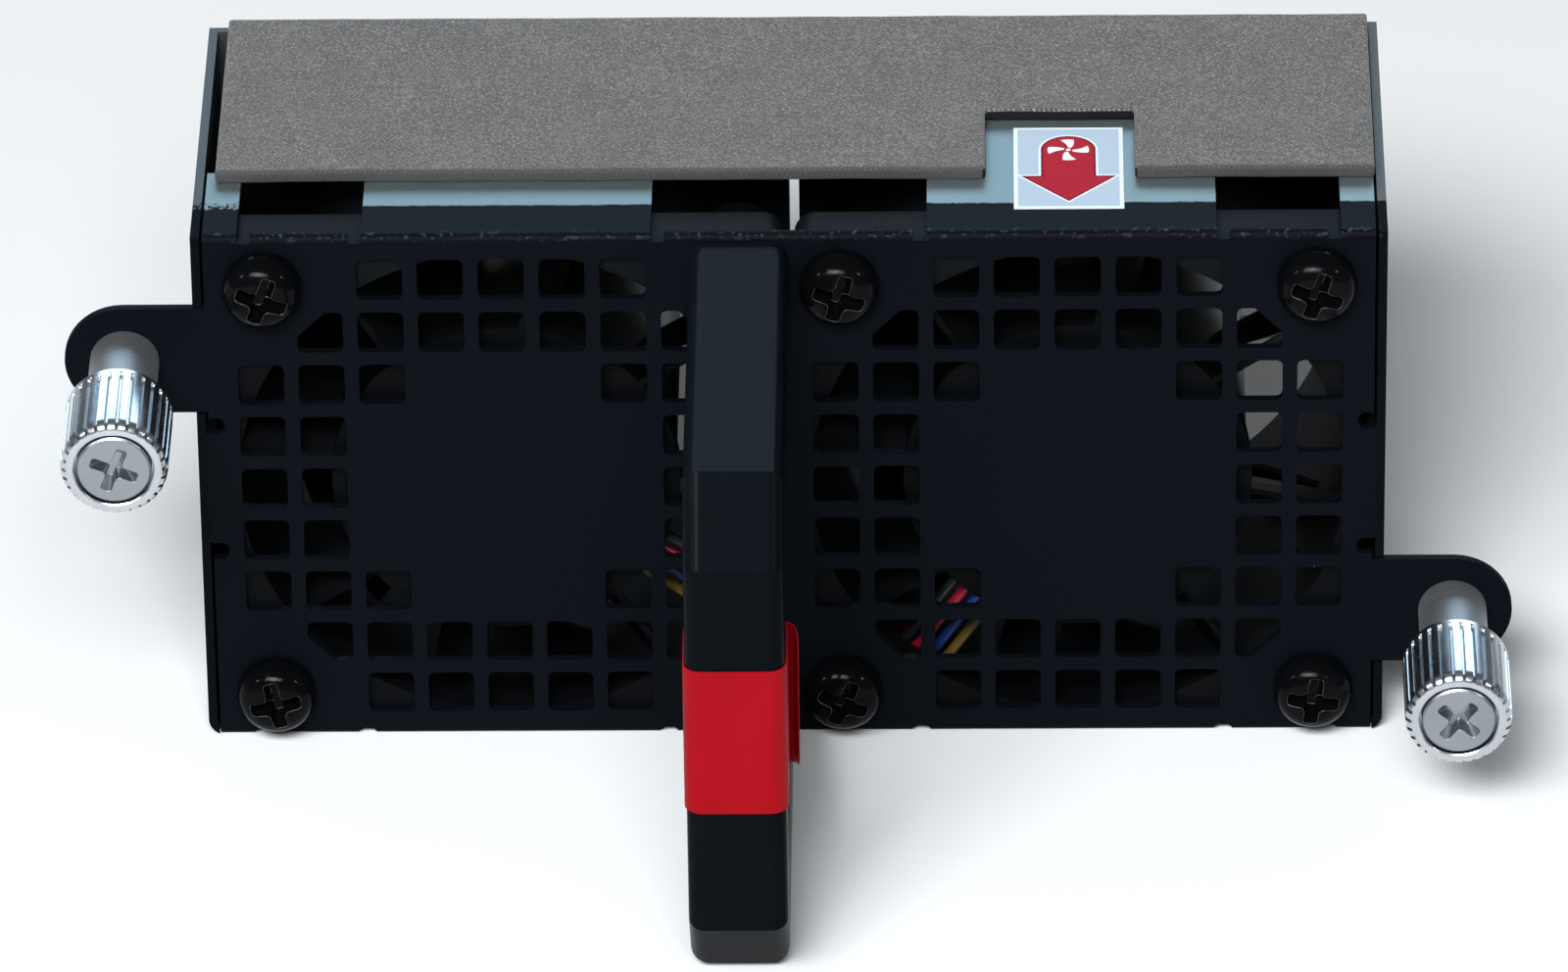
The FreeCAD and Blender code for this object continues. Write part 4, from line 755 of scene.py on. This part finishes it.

# %% [markdown]
# ## The gasket
# A strip of foam wrapped in grey conductive cloth lies along the top. It is soft, so it is not left as a
# block: a fine grid is cut to the outline with its notch, given its thickness, its edges rounded, and its
# top slightly uneven. The cloth's weave is drawn by the finish, as crossed waves of warp and weft with
# fuzz over them and bright specks as painted glints, darker along the front edge for the fold and as
# painted shade.

# %% Gasket
low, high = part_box("emi_gasket")
NOTCH_LEFT, NOTCH_RIGHT, NOTCH_REAR = 13.2 * MM, 23.2 * MM, 14.4 * MM
UNEVEN, NEAR_NOTCH = 0.12 * MM, 0.25 * MM
deselect_all()
bpy.ops.mesh.primitive_grid_add(x_subdivisions=155, y_subdivisions=44, size=1)
gasket = bpy.context.object
gasket.name = "cloth_gasket"
gasket.scale = (high.x - low.x, high.y - low.y, 1)
gasket.location = ((low.x + high.x) / 2, (low.y + high.y) / 2, high.z)
bpy.ops.object.transform_apply(location=True, rotation=True, scale=True)
place_edit(gasket)
notch_planes = [((side_x, 0, 0), (1, 0, 0)) for side_x in (NOTCH_LEFT, NOTCH_RIGHT)]
for point, normal in notch_planes + [((0, NOTCH_REAR, 0), (0, 1, 0))]:
    bpy.ops.mesh.select_all(action="SELECT")
    bpy.ops.mesh.bisect(plane_co=point, plane_no=normal)
bpy.ops.mesh.select_all(action="DESELECT")
bpy.ops.mesh.select_mode(type="FACE")
net = bmesh.from_edit_mesh(gasket.data)
for face in net.faces:
    middle = face.calc_center_median()
    face.select_set(NOTCH_LEFT < middle.x < NOTCH_RIGHT and middle.y < NOTCH_REAR)
bmesh.update_edit_mesh(gasket.data)
bpy.ops.mesh.delete(type="FACE")
bpy.ops.mesh.select_mode(type="VERT")
bpy.ops.object.mode_set(mode="OBJECT")

waves = bpy.data.textures.new("cloth_waves", "CLOUDS")
waves.noise_scale = 6 * MM
apply_modifier(gasket, "DISPLACE", texture=waves, texture_coords="LOCAL", strength=UNEVEN, mid_level=1.0,
               direction="Z")
apply_modifier(gasket, "SOLIDIFY", thickness=(high.z - low.z) - UNEVEN, offset=-1.0)
apply_modifier(gasket, "BEVEL", width=0.3 * MM, segments=4, limit_method="ANGLE",
               angle_limit=math.radians(50))
bpy.ops.object.shade_smooth()

cloth = Finish("grey_cloth", Specular_IOR_Level=0.25, Sheen_Weight=0.15)
x, y, z = cloth.split()
warp = ((x + z * 0.4) * TO_MM * 2 * math.pi / 0.34).maths("SINE")
weft = ((y - z) * TO_MM * 2 * math.pi / 0.30).maths("SINE")
weave = warp * weft * 0.5 + 0.5
fuzz = cloth.noise(5200, 3.0)
patch = cloth.noise(240, 3.0)
# painted glints: sparse bright specks added to the cloth's colour
painted_glints = cloth.ramp(cloth.noise(8000, 2.0), 0.58, 0.74)
tone = weave * 0.28 + fuzz * 0.7 - 0.07 + patch * 0.08 + 0.03 + painted_glints * 0.3
thread = cloth.node("ValToRGB", {"stops": [
    (0.26, (0.037, 0.0335, 0.031)), (0.52, (0.107, 0.0965, 0.090)), (0.85, (0.42, 0.385, 0.358)),
]}, {0: tone})
# darker along the front edge: partly the cloth's fold, partly painted shade
fold_and_painted_shade = cloth.ramp(y * TO_MM, low.y / MM + 0.45, low.y / MM + 0.1)
cloth.set(Base_Color=cloth.mix(fold_and_painted_shade * 0.85, thread, (0.042, 0.043, 0.044)))
cloth.set(Roughness=0.62 + fuzz * 0.25)
cloth.set(Metallic=0.25 * fuzz)
cloth.bump(weave * 0.6 + fuzz, 0.5, 0.05 * MM)
finish_piece(gasket, cloth, "tray", "gasket_fabric", "emi_gasket")

foam = satin("dark_foam", (0.006, 0.006, 0.006), (0.016, 0.016, 0.016), 0.85, 2200, 0.6,
             Specular_IOR_Level=0.05)
gasket.data.materials.append(foam.material)
for face in gasket.data.polygons:
    between = NOTCH_LEFT - NEAR_NOTCH < face.center.x < NOTCH_RIGHT + NEAR_NOTCH
    beside_notch = between and face.center.y < NOTCH_REAR + NEAR_NOTCH
    face.material_index = 1 if beside_notch and face.normal.z < 0.5 else 0
print("cut sides of the gasket:", sum(face.material_index for face in gasket.data.polygons), "faces")

# %% [markdown]
# ## The red tape
# One turn of red tape marks where to pull. It lies tight on the grip, and its free end sticks out at the
# back. A box the size of the grip gets rounded edges, loses its ends and takes a thickness. The tail is a
# grid whose columns are moved one by one along a curve, and the two are joined.

# %% Red tape
low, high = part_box("handle_band")
bar_low, bar_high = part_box("pull_handle")
CAD_TAPE, LOOSE, FILM, PARKED = 0.15 * MM, 0.06 * MM, 0.11 * MM, 20 * MM
grip_middle, grip_width = (bar_low.x + bar_high.x) / 2, bar_high.x - bar_low.x
grip_front, grip_back = low.y + CAD_TAPE, high.y - CAD_TAPE
deselect_all()
bpy.ops.mesh.primitive_cube_add(size=1)
tape = bpy.context.object
tape.name = "red_tape"
tape.scale = (grip_width + LOOSE, grip_back - grip_front + LOOSE, high.z - low.z)
tape.location = (grip_middle, (grip_front + grip_back) / 2, (low.z + high.z) / 2)
bpy.ops.object.transform_apply(location=True, rotation=True, scale=True)
place_edit(tape)
bpy.ops.mesh.select_mode(type="EDGE")
net = bmesh.from_edit_mesh(tape.data)
for edge in net.edges:
    edge.select_set(abs((edge.verts[0].co - edge.verts[1].co).normalized().z) > 0.99)
bmesh.update_edit_mesh(tape.data)
bpy.ops.mesh.bevel(offset=1.13 * MM, segments=7, affect="EDGES")
bpy.ops.mesh.select_mode(type="FACE")
net = bmesh.from_edit_mesh(tape.data)
for face in net.faces:
    face.select_set(abs(face.normal.z) > 0.9)
bmesh.update_edit_mesh(tape.data)
bpy.ops.mesh.delete(type="FACE")
bpy.ops.mesh.select_mode(type="VERT")
bpy.ops.mesh.select_all(action="SELECT")
bpy.ops.mesh.subdivide(number_cuts=7)
bpy.ops.object.mode_set(mode="OBJECT")
apply_modifier(tape, "SOLIDIFY", thickness=FILM, offset=1.0)
bpy.ops.object.shade_smooth_by_angle(angle=math.radians(40))

# each column of the tail: its place across and back, in millimetres, and its share of the height
TAIL = [
    (-2.2, 0.0, 1.0), (-1.2, 0.0, 1.0), (-0.5, 0.0, 1.0), (-0.15, -0.02, 1.0), (0.15, -0.1, 1.0),
    (0.42, -0.3, 0.99), (0.6, -0.6, 0.97), (0.7, -1.0, 0.94), (0.74, -1.35, 0.88), (0.75, -1.6, 0.78),
]
deselect_all()
tail_middle = (low.z + high.z) / 2
bpy.ops.mesh.primitive_grid_add(
    x_subdivisions=len(TAIL) - 1, y_subdivisions=12, size=1, rotation=(math.pi / 2, 0, 0)
)
tail = bpy.context.object
tail.name = "tape_tail"
tail.scale = (len(TAIL) * MM, (high.z - low.z) * 0.98, 1)
tail.location = (0, grip_back + 0.08 * MM, tail_middle)
bpy.ops.object.transform_apply(location=True, rotation=True, scale=True)
columns = sorted({round(vertex.co.x / MM, 4) for vertex in tail.data.vertices})
place_edit(tail)
for column, (x, y, tall) in reversed(list(zip(columns, TAIL))):
    select_where(tail, lambda place: close_enough(place.x, column * MM) and place.y < grip_back + 0.09 * MM)
    bpy.ops.transform.resize(value=(1, 1, tall), center_override=(0, 0, tail_middle))
    bpy.ops.transform.translate(value=((x - column) * MM + PARKED, y * MM, 0))
bpy.ops.mesh.select_all(action="SELECT")
bpy.ops.transform.translate(value=(-PARKED, 0, 0))
bpy.ops.object.mode_set(mode="OBJECT")
apply_modifier(tail, "SOLIDIFY", thickness=0.08 * MM, offset=0.0)
deselect_all()
tail.select_set(True)
tape.select_set(True)
bpy.context.view_layer.objects.active = tape
bpy.ops.object.join()

red = Finish("red_tape", Specular_IOR_Level=0.04)
wrinkle = red.noise(420, 3.0, (1, 1, 0.5))
red.set(Base_Color=red.mix(wrinkle, (0.24, 0.0023, 0.0062), (0.298, 0.0031, 0.0081)))
red.set(Roughness=0.38 + wrinkle * 0.15)
red.bump(wrinkle + red.noise(3500, 2.0) * 0.4, 0.2, 0.05 * MM)
finish_piece(tape, red, "tray", "red_tape", "handle_band")

# %% Sizes and finish
print("CAD box", [round(v * TO_MM, 2) for corner in cad_box for v in corner])
